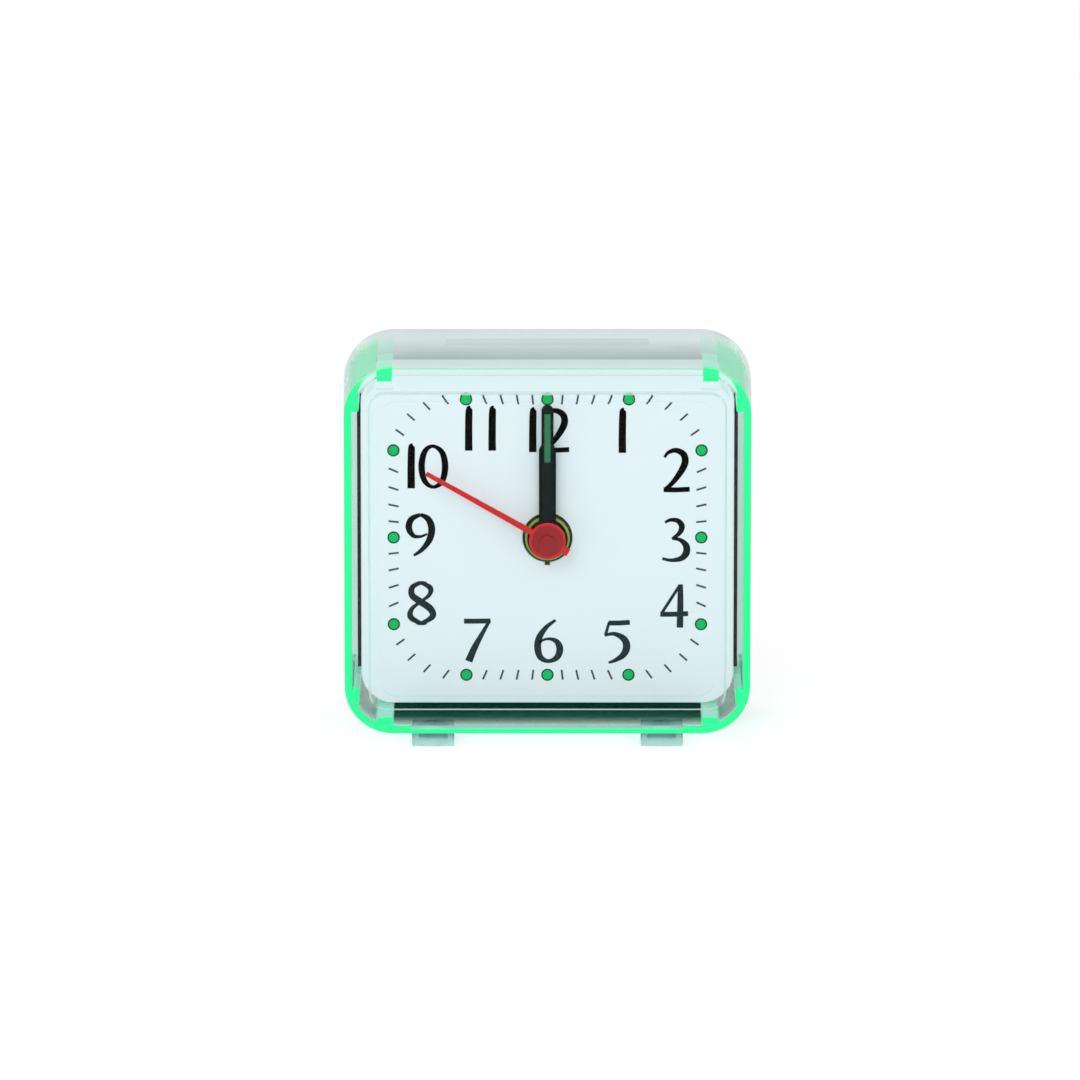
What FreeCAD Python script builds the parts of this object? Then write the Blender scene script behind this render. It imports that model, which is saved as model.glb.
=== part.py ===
"""Small square quartz alarm clock with a translucent case.

All lengths are in millimetres. X runs to the right of a person who faces the dial, Y runs from the
front to the back, and Z runs up. The origin is on the table, under the middle of the clock. Most
sizes along Y are written as a depth behind the front rim of the case, and y_at turns a depth into Y.
"""
import FreeCAD, Part
import math
import os

os.makedirs("parts", exist_ok=True)

# General clearances and the overrun of every cut
overrun = 1.0
seat_gap = 0.02
fit_gap = 0.1
shaft_gap = 0.08
slide_gap = 0.15

# Translucent case shell, a drafted square tube that opens wider at the back
side_room = 3.5
case_height = 52.3
case_corner = 6.8
case_wall = 1.1
case_flare = 0.5
rim_round = 0.4
rail_width = 2.1
rail_front = 0.6
rail_back = 24.0
rail_rise = 0.95
rail_nose = 0.5
top_rail_inset = 5.7
side_rail_inset = 5.25

# Clear feet, hollow from below
foot_height = 2.0
foot_width = 5.9
foot_length = 6.0
foot_wall = 0.9
foot_inset = 12.4
foot_front = 1.0
foot_back_margin = 1.5
foot_round = 0.5
foot_spigot_radius = 1.2
foot_spigot_height = 0.7

# Clear front lens with a raised window
lens_inset = 0.8
lens_plate = 1.6
lens_proud = 0.3
lens_wall = 1.2
lens_skirt_gap = 0.3
window_margin = 3.4
window_corner = 2.5
window_round = 0.5

# Dial and the white tray that carries it
dial_depth = 10.0
dial_thickness = 0.5
tray_depth = 4.8
tray_corner = 4.5
tray_wall = 1.2
dial_hole_radius = 3.55

# Hands, from the dial outwards
hand_thickness = 0.35
hand_gap = 0.3
alarm_hub_radius = 3.15
alarm_hand_length = 9.5
alarm_hand_width = 1.5
hour_hub_radius = 2.85
hour_hand_length = 13.7
hour_hand_width = 2.4
hour_tip_width = 1.5
hour_tip_length = 0.8
minute_hub_radius = 2.7
minute_hand_length = 19.4
minute_hand_width = 1.7
second_hub_radius = 2.6
second_hand_length = 19.6
second_hand_width = 0.9
second_tip_width = 0.6
second_tail_length = 3.4
second_tail_width = 1.1
second_boss_radius = 0.9
second_boss_rise = 0.5
second_hand_angle = 150.4

# Nested pipes round the second arbor
arbor_radius = 0.42
minute_pipe_radius = 0.97
hour_pipe_radius = 1.67
alarm_pipe_radius = 2.35
bush_radius = 3.48
bush_flange_radius = 4.2
bush_flange = 0.25
bush_key_width = 0.6
bush_key_reach = 0.4

# Black front plate of the movement, clamped between the tray and the rear cover
plate_side_gap = 0.5
plate_thickness = 1.2
pillar_radius = 1.5
pillar_left_x = -12.4
pillar_inset = 1.8
pillar_gap = 0.3
pillar_side_gap = 2.8
pillar_low_right_x = 11.5
train_room = 6.5
back_plate_left = -14.5
back_plate_side_gap = 2.3
back_plate_gap = 1.35
back_plate_rise = 2.0
back_plate_corner = 2.0
screw_shank_radius = 0.6
screw_head_radius = 1.3
screw_head_height = 0.7
screw_length = 4.0
screw_slot_width = 0.35
screw_slot_depth = 0.3

# Toothed wheels: module, tooth form as shares, and levels behind the rim
addendum_share = 0.8
dedendum_share = 1.1
tooth_root_share = 0.21
tooth_tip_share = 0.085
train_module = 0.2
rotor_module = 0.16
set_module = 0.25
pivot_radius = 0.35
pivot_recess = 0.1
wheel_thickness = 0.6
pinion_overlap = 0.25
centre_wheel_lift = 0.7
centre_hub_radius = 2.0
centre_hub_length = 1.2
rotor_wheel_lift = 2.5
third_wheel_lift = 3.7
second_wheel_lift = 5.1
hour_wheel_gap = 0.25
motion_wheel_room = 1.1
motion_stud_radius = 0.6
set_shaft_radius = 1.0

# Tooth counts of the going train, the motion work and the setting work
rotor_teeth = 10
rotor_wheel_teeth = 60
rotor_wheel_pinion_teeth = 12
second_wheel_teeth = 60
second_pinion_teeth = 8
third_wheel_teeth = 64
third_pinion_teeth = 8
centre_wheel_teeth = 60
cannon_teeth = 12
motion_wheel_teeth = 36
motion_pinion_teeth = 10
hour_wheel_teeth = 40
time_pinion_teeth = 12
alarm_wheel_teeth = 48
alarm_pinion_teeth = 16

# Directions of the axes round the hands, in degrees from +X towards +Z
third_direction = 100.0
rotor_wheel_direction = 30.0
rotor_direction = 20.0
motion_direction = 180.0
time_direction = 150.0
alarm_direction = -35.0

# Step motor
magnet_radius = 1.9
magnet_lift = 3.7
magnet_length = 1.5
stator_lift = 4.1
stator_thickness = 0.6
stator_bore_gap = 0.4
stator_width = 10.6
stator_height = 5.6
stator_arm = 2.0
stator_shift = 2.0
core_width = 2.2
core_rise = 8.5
bobbin_radius = 2.0
bobbin_flange = 0.5
bobbin_tube_radius = 1.3
winding_radius = 1.8

# Circuit board and what it carries, and the buzzer
board_side_gap = 0.8
board_pillar_gap = 0.4
board_low_gap = 4.15
board_top = 16.0
board_lift = 2.0
board_thickness = 0.8
board_post_radius = 1.0
board_post_inset = 2.0
chip_radius = 2.2
chip_height = 0.9
chip_rise = 15.0
crystal_radius = 1.0
crystal_length = 6.0
crystal_rise = 8.0
buzzer_radius = 4.8
buzzer_side_gap = 1.0
buzzer_low_gap = 2.35
buzzer_port_radius = 1.0
buzzer_port_depth = 0.8

# Alarm contact leaf
leaf_left = 2.5
leaf_right = 15.0
leaf_pad = 3.0
leaf_drop = 2.9
leaf_width = 1.6
leaf_thickness = 0.3
leaf_lift = 0.9

# Battery, one AAA cell, its contacts and its compartment in the rear cover
cell_radius = 5.25
cell_length = 44.5
cell_nub_radius = 1.9
cell_nub_length = 0.8
cell_bevel = 0.5
cell_play = 0.75
door_play = 0.1
spring_room = 3.5
tub_wall = 0.8
contact_thickness = 0.4
contact_width = 6.0
contact_tab = 3.0
spring_leaf_rise = 3.0

# White rear cover
cover_thickness = 1.5
cover_wall = 1.0
cover_round = 0.8
door_thickness = 1.15
door_seat = 0.7
door_gap = 0.2
door_end_radius = 0.575
door_rib_rise = 0.25
door_rib_width = 0.6
door_rib_length = 8.0
door_rib_pitch = 1.4
door_rib_count = 3
sound_hole_radius = 0.6
sound_ring_radius = 2.4
sound_hole_count = 6

# Knobs and alarm switch on the back
knob_radius = 4.2
knob_height = 2.0
knob_gap = 0.2
knob_groove_depth = 0.35
knob_groove_share = 0.24
knob_groove_count = 18
knob_dish_radius = 2.6
knob_dish_depth = 0.6
switch_x = 13.0
switch_room = 1.65
switch_travel = 3.0
switch_stem_width = 2.2
switch_stem_height = 1.6
switch_cap_width = 3.4
switch_cap_height = 2.6
switch_cap_rise = 1.2
switch_flange_length = 8.0
switch_flange_height = 3.4
switch_flange_thickness = 0.7

# Case width and depth, which follow from the battery and from what stands in front of it
tub_half_width = (cell_length + contact_thickness + spring_room) / 2
case_width = 2 * (tub_half_width + tub_wall + side_room)
tray_back = dial_depth + dial_thickness + tray_depth
tub_floor_back = tray_back + tub_wall
cell_depth = tub_floor_back + slide_gap + cell_radius
door_front = cell_depth + cell_radius + door_play
cover_back = door_front + door_thickness
case_depth = cover_back - cover_thickness

# Other values that follow from the sizes above
overall_depth = lens_proud + cover_back + knob_gap + knob_height
centre_z = foot_height + case_height / 2
window_front = -lens_proud
inner_width = case_width - 2 * case_wall
inner_height = case_height - 2 * case_wall
inner_corner = case_corner - case_wall
top_rail_x = case_width / 2 - top_rail_inset
side_rail_z = case_height / 2 - side_rail_inset
foot_x = case_width / 2 - foot_inset
window_width = case_width - 2 * window_margin
window_height = case_height - 2 * window_margin
tray_width = inner_width - 2 * (rail_rise + slide_gap)
tray_height = inner_height - 2 * (rail_rise + slide_gap)
plate_width = inner_width - 2 * plate_side_gap
plate_front = tray_back
plate_back = plate_front + plate_thickness
back_plate_front = plate_back + train_room
back_plate_back = back_plate_front + plate_thickness
box_half_width = tray_width / 2 - cover_wall
box_half_height = tray_height / 2 - cover_wall
alarm_hand_back = dial_depth - hand_gap
hour_hand_back = alarm_hand_back - hand_thickness - hand_gap
minute_hand_back = hour_hand_back - hand_thickness - hand_gap
second_hand_back = minute_hand_back - hand_thickness - hand_gap
knob_front = cover_back + knob_gap
tub_low = -box_half_height
tub_high = tub_low + 2 * (cell_radius + cell_play)
tub_top = tub_high + tub_wall
cell_z = (tub_low + tub_high) / 2
back_plate_bottom = tub_top + back_plate_gap
pillar_low_z = back_plate_bottom + pillar_inset
back_plate_right = box_half_width - back_plate_side_gap
pillar_right_x = box_half_width - pillar_side_gap - pillar_radius
board_left = -(box_half_width - board_side_gap)
board_right = pillar_left_x - pillar_radius - board_pillar_gap
board_bottom = tub_top + board_low_gap
board_front = plate_back + board_lift
buzzer_x = box_half_width - buzzer_side_gap - buzzer_radius
buzzer_z = tub_top + buzzer_low_gap + buzzer_radius
buzzer_back = plate_back + stator_lift - slide_gap
chip_z = board_bottom + chip_rise
crystal_z = board_bottom + crystal_rise
switch_z = box_half_height - switch_room - switch_flange_height / 2
centre_wheel_front = plate_back + centre_wheel_lift
rotor_wheel_front = plate_back + rotor_wheel_lift
third_wheel_front = plate_back + third_wheel_lift
second_wheel_front = plate_back + second_wheel_lift
magnet_front = plate_back + magnet_lift
stator_front = plate_back + stator_lift
bush_back = dial_depth + dial_thickness + tray_wall + bush_flange
alarm_wheel_front = bush_back + slide_gap
hour_wheel_front = alarm_wheel_front + wheel_thickness + hour_wheel_gap
motion_wheel_front = plate_front - motion_wheel_room
motion_stud_front = hour_wheel_front - fit_gap


def y_at(depth):
    """Y of a point that lies this far behind the front rim."""
    return depth + lens_proud - overall_depth / 2


def block(left, right, front, back, bottom, top):
    """Box between two X values, two depths and two heights from the middle of the dial."""
    corner = FreeCAD.Vector(left, y_at(front), centre_z + bottom)
    return Part.makeBox(right - left, back - front, top - bottom, corner)


def rod(radius, front, back, x=0.0, z=0.0):
    """Cylinder along Y between two depths."""
    foot = FreeCAD.Vector(x, y_at(front), centre_z + z)
    return Part.makeCylinder(radius, back - front, foot, FreeCAD.Vector(0, 1, 0))


def tube(outer, inner, front, back, x=0.0, z=0.0):
    """Round pipe along Y."""
    return rod(outer, front, back, x, z).cut(rod(inner, front - overrun, back + overrun, x, z))


def rounded_wire(width, height, corner, depth, x=0.0, z=0.0):
    """Rectangle with round corners, upright at one depth."""
    y = y_at(depth)
    middle_z = centre_z + z
    half_w = width / 2 - corner
    half_h = height / 2 - corner
    edges = []
    last = None
    first = None
    for index, (side_x, side_z) in enumerate(((1, 1), (-1, 1), (-1, -1), (1, -1))):
        cx = x + side_x * half_w
        cz = middle_z + side_z * half_h
        points = []
        for step in range(3):
            angle = math.radians(90 * index + 45 * step)
            points.append(FreeCAD.Vector(cx + corner * math.cos(angle), y, cz + corner * math.sin(angle)))
        if last is None:
            first = points[0]
        else:
            edges.append(Part.makeLine(last, points[0]))
        edges.append(Part.Arc(points[0], points[1], points[2]).toShape())
        last = points[2]
    edges.append(Part.makeLine(last, first))
    return Part.Wire(edges)


def rounded_slab(width, height, corner, front, back, x=0.0, z=0.0):
    """Straight prism on a rounded rectangle."""
    face = Part.Face(rounded_wire(width, height, corner, front, x, z))
    return face.extrude(FreeCAD.Vector(0, back - front, 0))


def plate_from(points, front, back, x=0.0, z=0.0):
    """Flat piece of a given outline, whose points are measured from (x, z)."""
    y = y_at(front)
    corners = [FreeCAD.Vector(x + px, y, centre_z + z + pz) for px, pz in points]
    outline = Part.makePolygon(corners + corners[:1])
    return Part.Face(outline).extrude(FreeCAD.Vector(0, back - front, 0))


def drafted_tube(front, back):
    """Wall of the case: outer and inner skins are lofts that grow towards the back."""
    growth_front = 2 * case_flare * front / case_depth
    growth_back = 2 * case_flare * back / case_depth
    skins = []
    for shrink in (0.0, case_wall):
        wires = []
        for growth, depth in ((growth_front, front), (growth_back, back)):
            width = case_width + growth - 2 * shrink
            height = case_height + growth - 2 * shrink
            corner = case_corner + growth / 2 - shrink
            wires.append(rounded_wire(width, height, corner, depth))
        skins.append(Part.makeLoft(wires, True, True))
    return skins[0].cut(skins[1])


def edges_at(shape, depth):
    """Edges of a shape that lie wholly at one depth."""
    y = y_at(depth)
    found = []
    for edge in shape.Edges:
        box = edge.BoundBox
        if abs(box.YMin - y) < seat_gap and abs(box.YMax - y) < seat_gap:
            found.append(edge)
    return found


def rail_blocks(width, front, back, inner_x, inner_z, outer):
    """Eight bars that run from front to back, two on each wall of the case."""
    half = width / 2
    bars = []
    for side in (-1, 1):
        for place in (-top_rail_x, top_rail_x):
            near, far = sorted((side * inner_z, side * (inner_z + outer)))
            bars.append(block(place - half, place + half, front, back, near, far))
        for place in (-side_rail_z, side_rail_z):
            near, far = sorted((side * inner_x, side * (inner_x + outer)))
            bars.append(block(near, far, front, back, place - half, place + half))
    return bars


def make_case_shell():
    """Translucent shell: thin drafted walls, a round front rim and eight inner rails."""
    shell = drafted_tube(0.0, case_depth)
    shell = shell.makeFillet(rim_round, edges_at(shell, 0.0))
    inner_x = inner_width / 2 - rail_rise
    inner_z = inner_height / 2 - rail_rise
    reach = rail_rise + case_wall / 2
    for bar in rail_blocks(rail_width, rail_front, rail_back, inner_x, inner_z, reach):
        longest = sorted(edges_at(bar, rail_front), key=lambda edge: edge.Length)[-2:]
        inward = min(longest, key=lambda edge: distance_from_axis(edge))
        shell = shell.fuse(bar.makeChamfer(rail_nose, [inward]))
    return with_foot_sockets(shell.removeSplitter())


def distance_from_axis(edge):
    """How far the middle of an edge is from the clock's long axis."""
    middle = edge.CenterOfMass
    return math.hypot(middle.x, middle.z - centre_z)


def foot_places():
    """X and front depth of the four feet."""
    back = case_depth - foot_length - foot_back_margin
    return [(side * foot_x, front) for front in (foot_front, back) for side in (-1, 1)]


def foot_roof_z(front):
    """Height of the case floor over a foot, at the foot's lowest corner."""
    return foot_height - case_flare * (front + foot_length) / case_depth


def with_foot_sockets(shell):
    """Blind round holes in the case floor that take the feet's spigots."""
    for x, front in foot_places():
        middle = y_at(front + foot_length / 2)
        foot = FreeCAD.Vector(x, middle, foot_roof_z(front) - overrun)
        depth = overrun + foot_spigot_height + fit_gap
        shell = shell.cut(Part.makeCylinder(foot_spigot_radius + fit_gap, depth, foot))
    return shell


def make_feet():
    """Four clear pads with a hollow underside, each held by a spigot in the case floor."""
    feet = []
    for x, front in foot_places():
        roof = foot_roof_z(front) - seat_gap
        corner = FreeCAD.Vector(x - foot_width / 2, y_at(front), 0)
        pad = Part.makeBox(foot_width, foot_length, roof, corner)
        upright = [edge for edge in pad.Edges if edge.BoundBox.ZLength > roof / 2]
        pad = pad.makeFillet(foot_round, upright)
        hollow = Part.makeBox(
            foot_width - 2 * foot_wall,
            foot_length - 2 * foot_wall,
            roof - foot_wall,
            corner + FreeCAD.Vector(foot_wall, foot_wall, 0),
        )
        spigot_foot = FreeCAD.Vector(x, y_at(front + foot_length / 2), roof - foot_wall)
        spigot = Part.makeCylinder(foot_spigot_radius, foot_wall + foot_spigot_height, spigot_foot)
        feet.append(pad.cut(hollow).fuse(spigot).removeSplitter())
    return Part.makeCompound(feet)


def make_front_lens():
    """Clear cap: notched flange, raised window and a skirt that reaches back to the dial."""
    width = inner_width - 2 * fit_gap
    height = inner_height - 2 * fit_gap
    corner = inner_corner - fit_gap
    flange_back = lens_inset + lens_plate
    skirt_back = dial_depth - lens_skirt_gap
    body = rounded_slab(width, height, corner, lens_inset, skirt_back)
    hollow = rounded_slab(
        width - 2 * lens_wall,
        height - 2 * lens_wall,
        corner - lens_wall,
        flange_back,
        skirt_back + overrun,
    )
    body = body.cut(hollow)
    window = rounded_slab(window_width, window_height, window_corner, window_front, flange_back)
    window = window.makeFillet(window_round, edges_at(window, window_front))
    body = body.fuse(window)
    recess = 2 * lens_plate
    body = body.cut(rounded_slab(
        window_width - recess,
        window_height - recess,
        window_corner,
        window_front + lens_plate,
        flange_back + overrun,
    ))
    reach_x = inner_width / 2 - lens_wall - rail_rise
    reach_z = inner_height / 2 - lens_wall - rail_rise
    notch = rail_width + 2 * slide_gap
    past = lens_wall + rail_rise + overrun
    for bar in rail_blocks(notch, window_front, skirt_back + overrun, reach_x, reach_z, past):
        body = body.cut(bar)
    return body.removeSplitter()


def make_dial_plate():
    """Thin white dial with a round hole for the hands."""
    plate = rounded_slab(
        tray_width - 2 * fit_gap,
        tray_height - 2 * fit_gap,
        tray_corner,
        dial_depth,
        dial_depth + dial_thickness,
    )
    back = dial_depth + dial_thickness + overrun
    plate = plate.cut(rod(dial_hole_radius, dial_depth - overrun, back))
    return plate.cut(bush_key(fit_gap, dial_depth - overrun, back))


def make_dial_tray():
    """White tray behind the dial, hollow for the motion work."""
    front = dial_depth + dial_thickness
    wall = 2 * tray_wall
    tray = rounded_slab(tray_width, tray_height, tray_corner, front, tray_back)
    hollow = rounded_slab(
        tray_width - wall,
        tray_height - wall,
        tray_corner - tray_wall,
        front + tray_wall,
        tray_back + overrun,
    )
    tray = tray.cut(hollow)
    return tray.cut(rod(bush_radius + seat_gap, front - overrun, front + tray_wall + overrun))


def bush_key(gap, front, back):
    """Small key under the bush, or the notch for it where a gap is given."""
    half = bush_key_width / 2 + gap
    return block(-half, half, front, back, -(bush_radius + bush_key_reach + gap), -dial_hole_radius / 2)


def make_centre_bush():
    """Black bush in the tray that guides the alarm pipe and shows as a ring round the hub."""
    flange_front = bush_back - bush_flange
    bush = rod(bush_radius, dial_depth, bush_back)
    bush = bush.fuse(rod(bush_flange_radius, flange_front + seat_gap, bush_back))
    bush = bush.fuse(bush_key(0.0, dial_depth, dial_depth + dial_thickness - seat_gap))
    bore = rod(alarm_pipe_radius + shaft_gap, dial_depth - overrun, bush_back + overrun)
    return bush.cut(bore)


def polar(distance, direction):
    """X and Z steps of a distance in a direction."""
    angle = math.radians(direction)
    return distance * math.cos(angle), distance * math.sin(angle)


def gear_distance(module, teeth_a, teeth_b):
    """Distance between the axes of two wheels in mesh."""
    return module * (teeth_a + teeth_b) / 2


def mesh_phase(phase, teeth, next_teeth, direction):
    """Angle of a tooth on the next wheel that leaves a gap for the teeth of this one."""
    return direction + 180 + 180 / next_teeth + (direction - phase) * teeth / next_teeth


def gear(teeth, module, front, back, x, z, phase):
    """Toothed disc with straight-flanked teeth and generous backlash, as moulded wheels have."""
    tip = module * (teeth / 2 + addendum_share)
    root = module * (teeth / 2 - dedendum_share)
    pitch = 360 / teeth
    points = []
    for index in range(teeth):
        middle = phase + index * pitch
        points.append(polar(root, middle - tooth_root_share * pitch))
        points.append(polar(tip, middle - tooth_tip_share * pitch))
        points.append(polar(tip, middle + tooth_tip_share * pitch))
        points.append(polar(root, middle + tooth_root_share * pitch))
    return plate_from(points, front, back, x, z)


# Axes of the train, worked out from the tooth counts
third_distance = gear_distance(train_module, second_pinion_teeth, third_wheel_teeth)
third_x, third_z = polar(third_distance, third_direction)
centre_module = 2 * third_distance / (third_pinion_teeth + centre_wheel_teeth)
wheel_distance = gear_distance(train_module, rotor_wheel_pinion_teeth, second_wheel_teeth)
rotor_wheel_x, rotor_wheel_z = polar(wheel_distance, rotor_wheel_direction)
rotor_step = polar(gear_distance(rotor_module, rotor_teeth, rotor_wheel_teeth), rotor_direction)
rotor_x = rotor_wheel_x + rotor_step[0]
rotor_z = rotor_wheel_z + rotor_step[1]
motion_distance = gear_distance(set_module, cannon_teeth, motion_wheel_teeth)
motion_x, motion_z = polar(motion_distance, motion_direction)
hour_module = 2 * motion_distance / (motion_pinion_teeth + hour_wheel_teeth)
time_step = polar(gear_distance(set_module, motion_wheel_teeth, time_pinion_teeth), time_direction)
time_x = motion_x + time_step[0]
time_z = motion_z + time_step[1]
alarm_x, alarm_z = polar(
    gear_distance(set_module, alarm_wheel_teeth, alarm_pinion_teeth), alarm_direction
)
core_z = rotor_z + core_rise
pillar_high_z = core_z + core_width / 2 + pillar_gap + pillar_radius
back_plate_top = pillar_high_z + back_plate_rise
leaf_z = alarm_z - leaf_drop


def pillar_places():
    """Middles of the four pillars of the movement."""
    return [
        (pillar_left_x, pillar_low_z),
        (pillar_left_x, pillar_high_z),
        (pillar_right_x, pillar_high_z),
        (pillar_low_right_x, pillar_low_z),
    ]


def board_post_places():
    """Middles of the two posts that carry the circuit board."""
    x = (board_left + board_right) / 2
    return [(x, board_bottom + board_post_inset), (x, board_top - board_post_inset)]


def pivot_places():
    """Middles of the small bearing holes that both plates share."""
    return [(third_x, third_z), (rotor_wheel_x, rotor_wheel_z), (rotor_x, rotor_z)]


def make_front_plate():
    """Black front plate with pillars, a stud, posts and the window for the battery."""
    between_rails = 2 * (side_rail_z - rail_width / 2 - slide_gap)
    half_w = plate_width / 2
    plate = rounded_slab(tray_width, tray_height, tray_corner, plate_front, plate_back)
    plate = plate.fuse(
        block(-half_w, half_w, plate_front, plate_back, -between_rails / 2, between_rails / 2)
    )
    side = tub_half_width + tub_wall + slide_gap
    window = block(
        -side, side, plate_front - overrun, plate_back + overrun,
        tub_low - cover_wall - overrun, tub_top + slide_gap,
    )
    plate = plate.cut(window)
    for x, z in pillar_places():
        plate = plate.fuse(rod(pillar_radius, plate_front, back_plate_front, x, z))
        drill = back_plate_back - screw_length - slide_gap
        plate = plate.cut(rod(screw_shank_radius + seat_gap, drill, back_plate_front + overrun, x, z))
    for x, z in board_post_places():
        plate = plate.fuse(rod(board_post_radius, plate_front, board_front, x, z))
    plate = plate.fuse(rod(motion_stud_radius, motion_stud_front, plate_back, motion_x, motion_z))
    holes = [(x, z, pivot_radius) for x, z in pivot_places()]
    holes.append((0.0, 0.0, minute_pipe_radius))
    holes.append((time_x, time_z, set_shaft_radius))
    holes.append((alarm_x, alarm_z, set_shaft_radius))
    for x, z, radius in holes:
        plate = plate.cut(rod(radius + shaft_gap, plate_front - overrun, plate_back + overrun, x, z))
    return plate.removeSplitter()


def make_back_plate():
    """Black back plate that closes the train, screwed to the pillars."""
    width = back_plate_right - back_plate_left
    height = back_plate_top - back_plate_bottom
    middle_x = (back_plate_left + back_plate_right) / 2
    middle_z = (back_plate_bottom + back_plate_top) / 2
    plate = rounded_slab(
        width, height, back_plate_corner, back_plate_front, back_plate_back, middle_x, middle_z
    )
    holes = [(x, z, pivot_radius + shaft_gap) for x, z in pivot_places()]
    holes.append((0.0, 0.0, arbor_radius + shaft_gap))
    holes.append((time_x, time_z, set_shaft_radius + shaft_gap))
    holes.append((alarm_x, alarm_z, set_shaft_radius + shaft_gap))
    for x, z in pillar_places():
        holes.append((x, z, screw_shank_radius + seat_gap))
    for x, z, radius in holes:
        plate = plate.cut(rod(radius, back_plate_front - overrun, back_plate_back + overrun, x, z))
    return plate


def make_movement_screws():
    """Four slotted screws that hold the back plate to the pillars."""
    screws = []
    for x, z in pillar_places():
        head_back = back_plate_back + screw_head_height
        screw = rod(screw_shank_radius, back_plate_back - screw_length, back_plate_back, x, z)
        screw = screw.fuse(rod(screw_head_radius, back_plate_back, head_back, x, z))
        slot = block(
            x - screw_head_radius - overrun, x + screw_head_radius + overrun,
            head_back - screw_slot_depth, head_back + overrun,
            z - screw_slot_width / 2, z + screw_slot_width / 2,
        )
        screws.append(screw.cut(slot))
    return Part.makeCompound(screws)


def pivoted(shape, x, z):
    """Adds the thin arbor that turns in both plates."""
    return shape.fuse(
        rod(pivot_radius, plate_front + pivot_recess, back_plate_back - pivot_recess, x, z)
    )


def make_train():
    """Rotor, wheels and pinions from the step motor to the hands."""
    pieces = {}
    second_back = second_wheel_front + wheel_thickness
    third_back = third_wheel_front + wheel_thickness
    centre_back = centre_wheel_front + wheel_thickness
    rotor_wheel_back = rotor_wheel_front + wheel_thickness

    second_phase = 0.0
    wheel = gear(second_wheel_teeth, train_module, second_wheel_front, second_back, 0.0, 0.0, second_phase)
    pinion = gear(
        second_pinion_teeth, train_module, third_wheel_front - pinion_overlap, second_wheel_front,
        0.0, 0.0, second_phase,
    )
    arbor = rod(arbor_radius, second_hand_back - hand_thickness, back_plate_back - pivot_recess)
    pieces["second_wheel"] = wheel.fuse(pinion).fuse(arbor)

    phase = mesh_phase(second_phase, second_pinion_teeth, third_wheel_teeth, third_direction)
    wheel = gear(third_wheel_teeth, train_module, third_wheel_front, third_back, third_x, third_z, phase)
    third_phase = 0.0
    pinion = gear(
        third_pinion_teeth, centre_module, centre_wheel_front - pinion_overlap,
        centre_back + pinion_overlap, third_x, third_z, third_phase,
    )
    pieces["third_wheel"] = pivoted(wheel.fuse(pinion), third_x, third_z)

    phase = mesh_phase(third_phase, third_pinion_teeth, centre_wheel_teeth, third_direction + 180)
    wheel = gear(centre_wheel_teeth, centre_module, centre_wheel_front, centre_back, 0.0, 0.0, phase)
    wheel = wheel.fuse(rod(centre_hub_radius, centre_wheel_front, centre_wheel_front + centre_hub_length))
    bore = rod(minute_pipe_radius + shaft_gap / 2, centre_wheel_front - overrun, centre_back + 2 * overrun)
    pieces["centre_wheel"] = wheel.cut(bore)

    phase = mesh_phase(
        second_phase, second_wheel_teeth, rotor_wheel_pinion_teeth, rotor_wheel_direction
    )
    pinion = gear(
        rotor_wheel_pinion_teeth, train_module, second_wheel_front - pinion_overlap,
        second_back + pinion_overlap, rotor_wheel_x, rotor_wheel_z, phase,
    )
    wheel_phase = 0.0
    wheel = gear(
        rotor_wheel_teeth, rotor_module, rotor_wheel_front, rotor_wheel_back,
        rotor_wheel_x, rotor_wheel_z, wheel_phase,
    )
    pieces["intermediate_wheel"] = pivoted(wheel.fuse(pinion), rotor_wheel_x, rotor_wheel_z)

    phase = mesh_phase(wheel_phase, rotor_wheel_teeth, rotor_teeth, rotor_direction)
    pinion = gear(
        rotor_teeth, rotor_module, rotor_wheel_front - pinion_overlap,
        rotor_wheel_back + pinion_overlap, rotor_x, rotor_z, phase,
    )
    pieces["rotor_pinion"] = pivoted(pinion, rotor_x, rotor_z)
    pieces["rotor_magnet"] = tube(
        magnet_radius, pivot_radius + seat_gap, magnet_front, magnet_front + magnet_length,
        rotor_x, rotor_z,
    )
    return pieces


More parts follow.
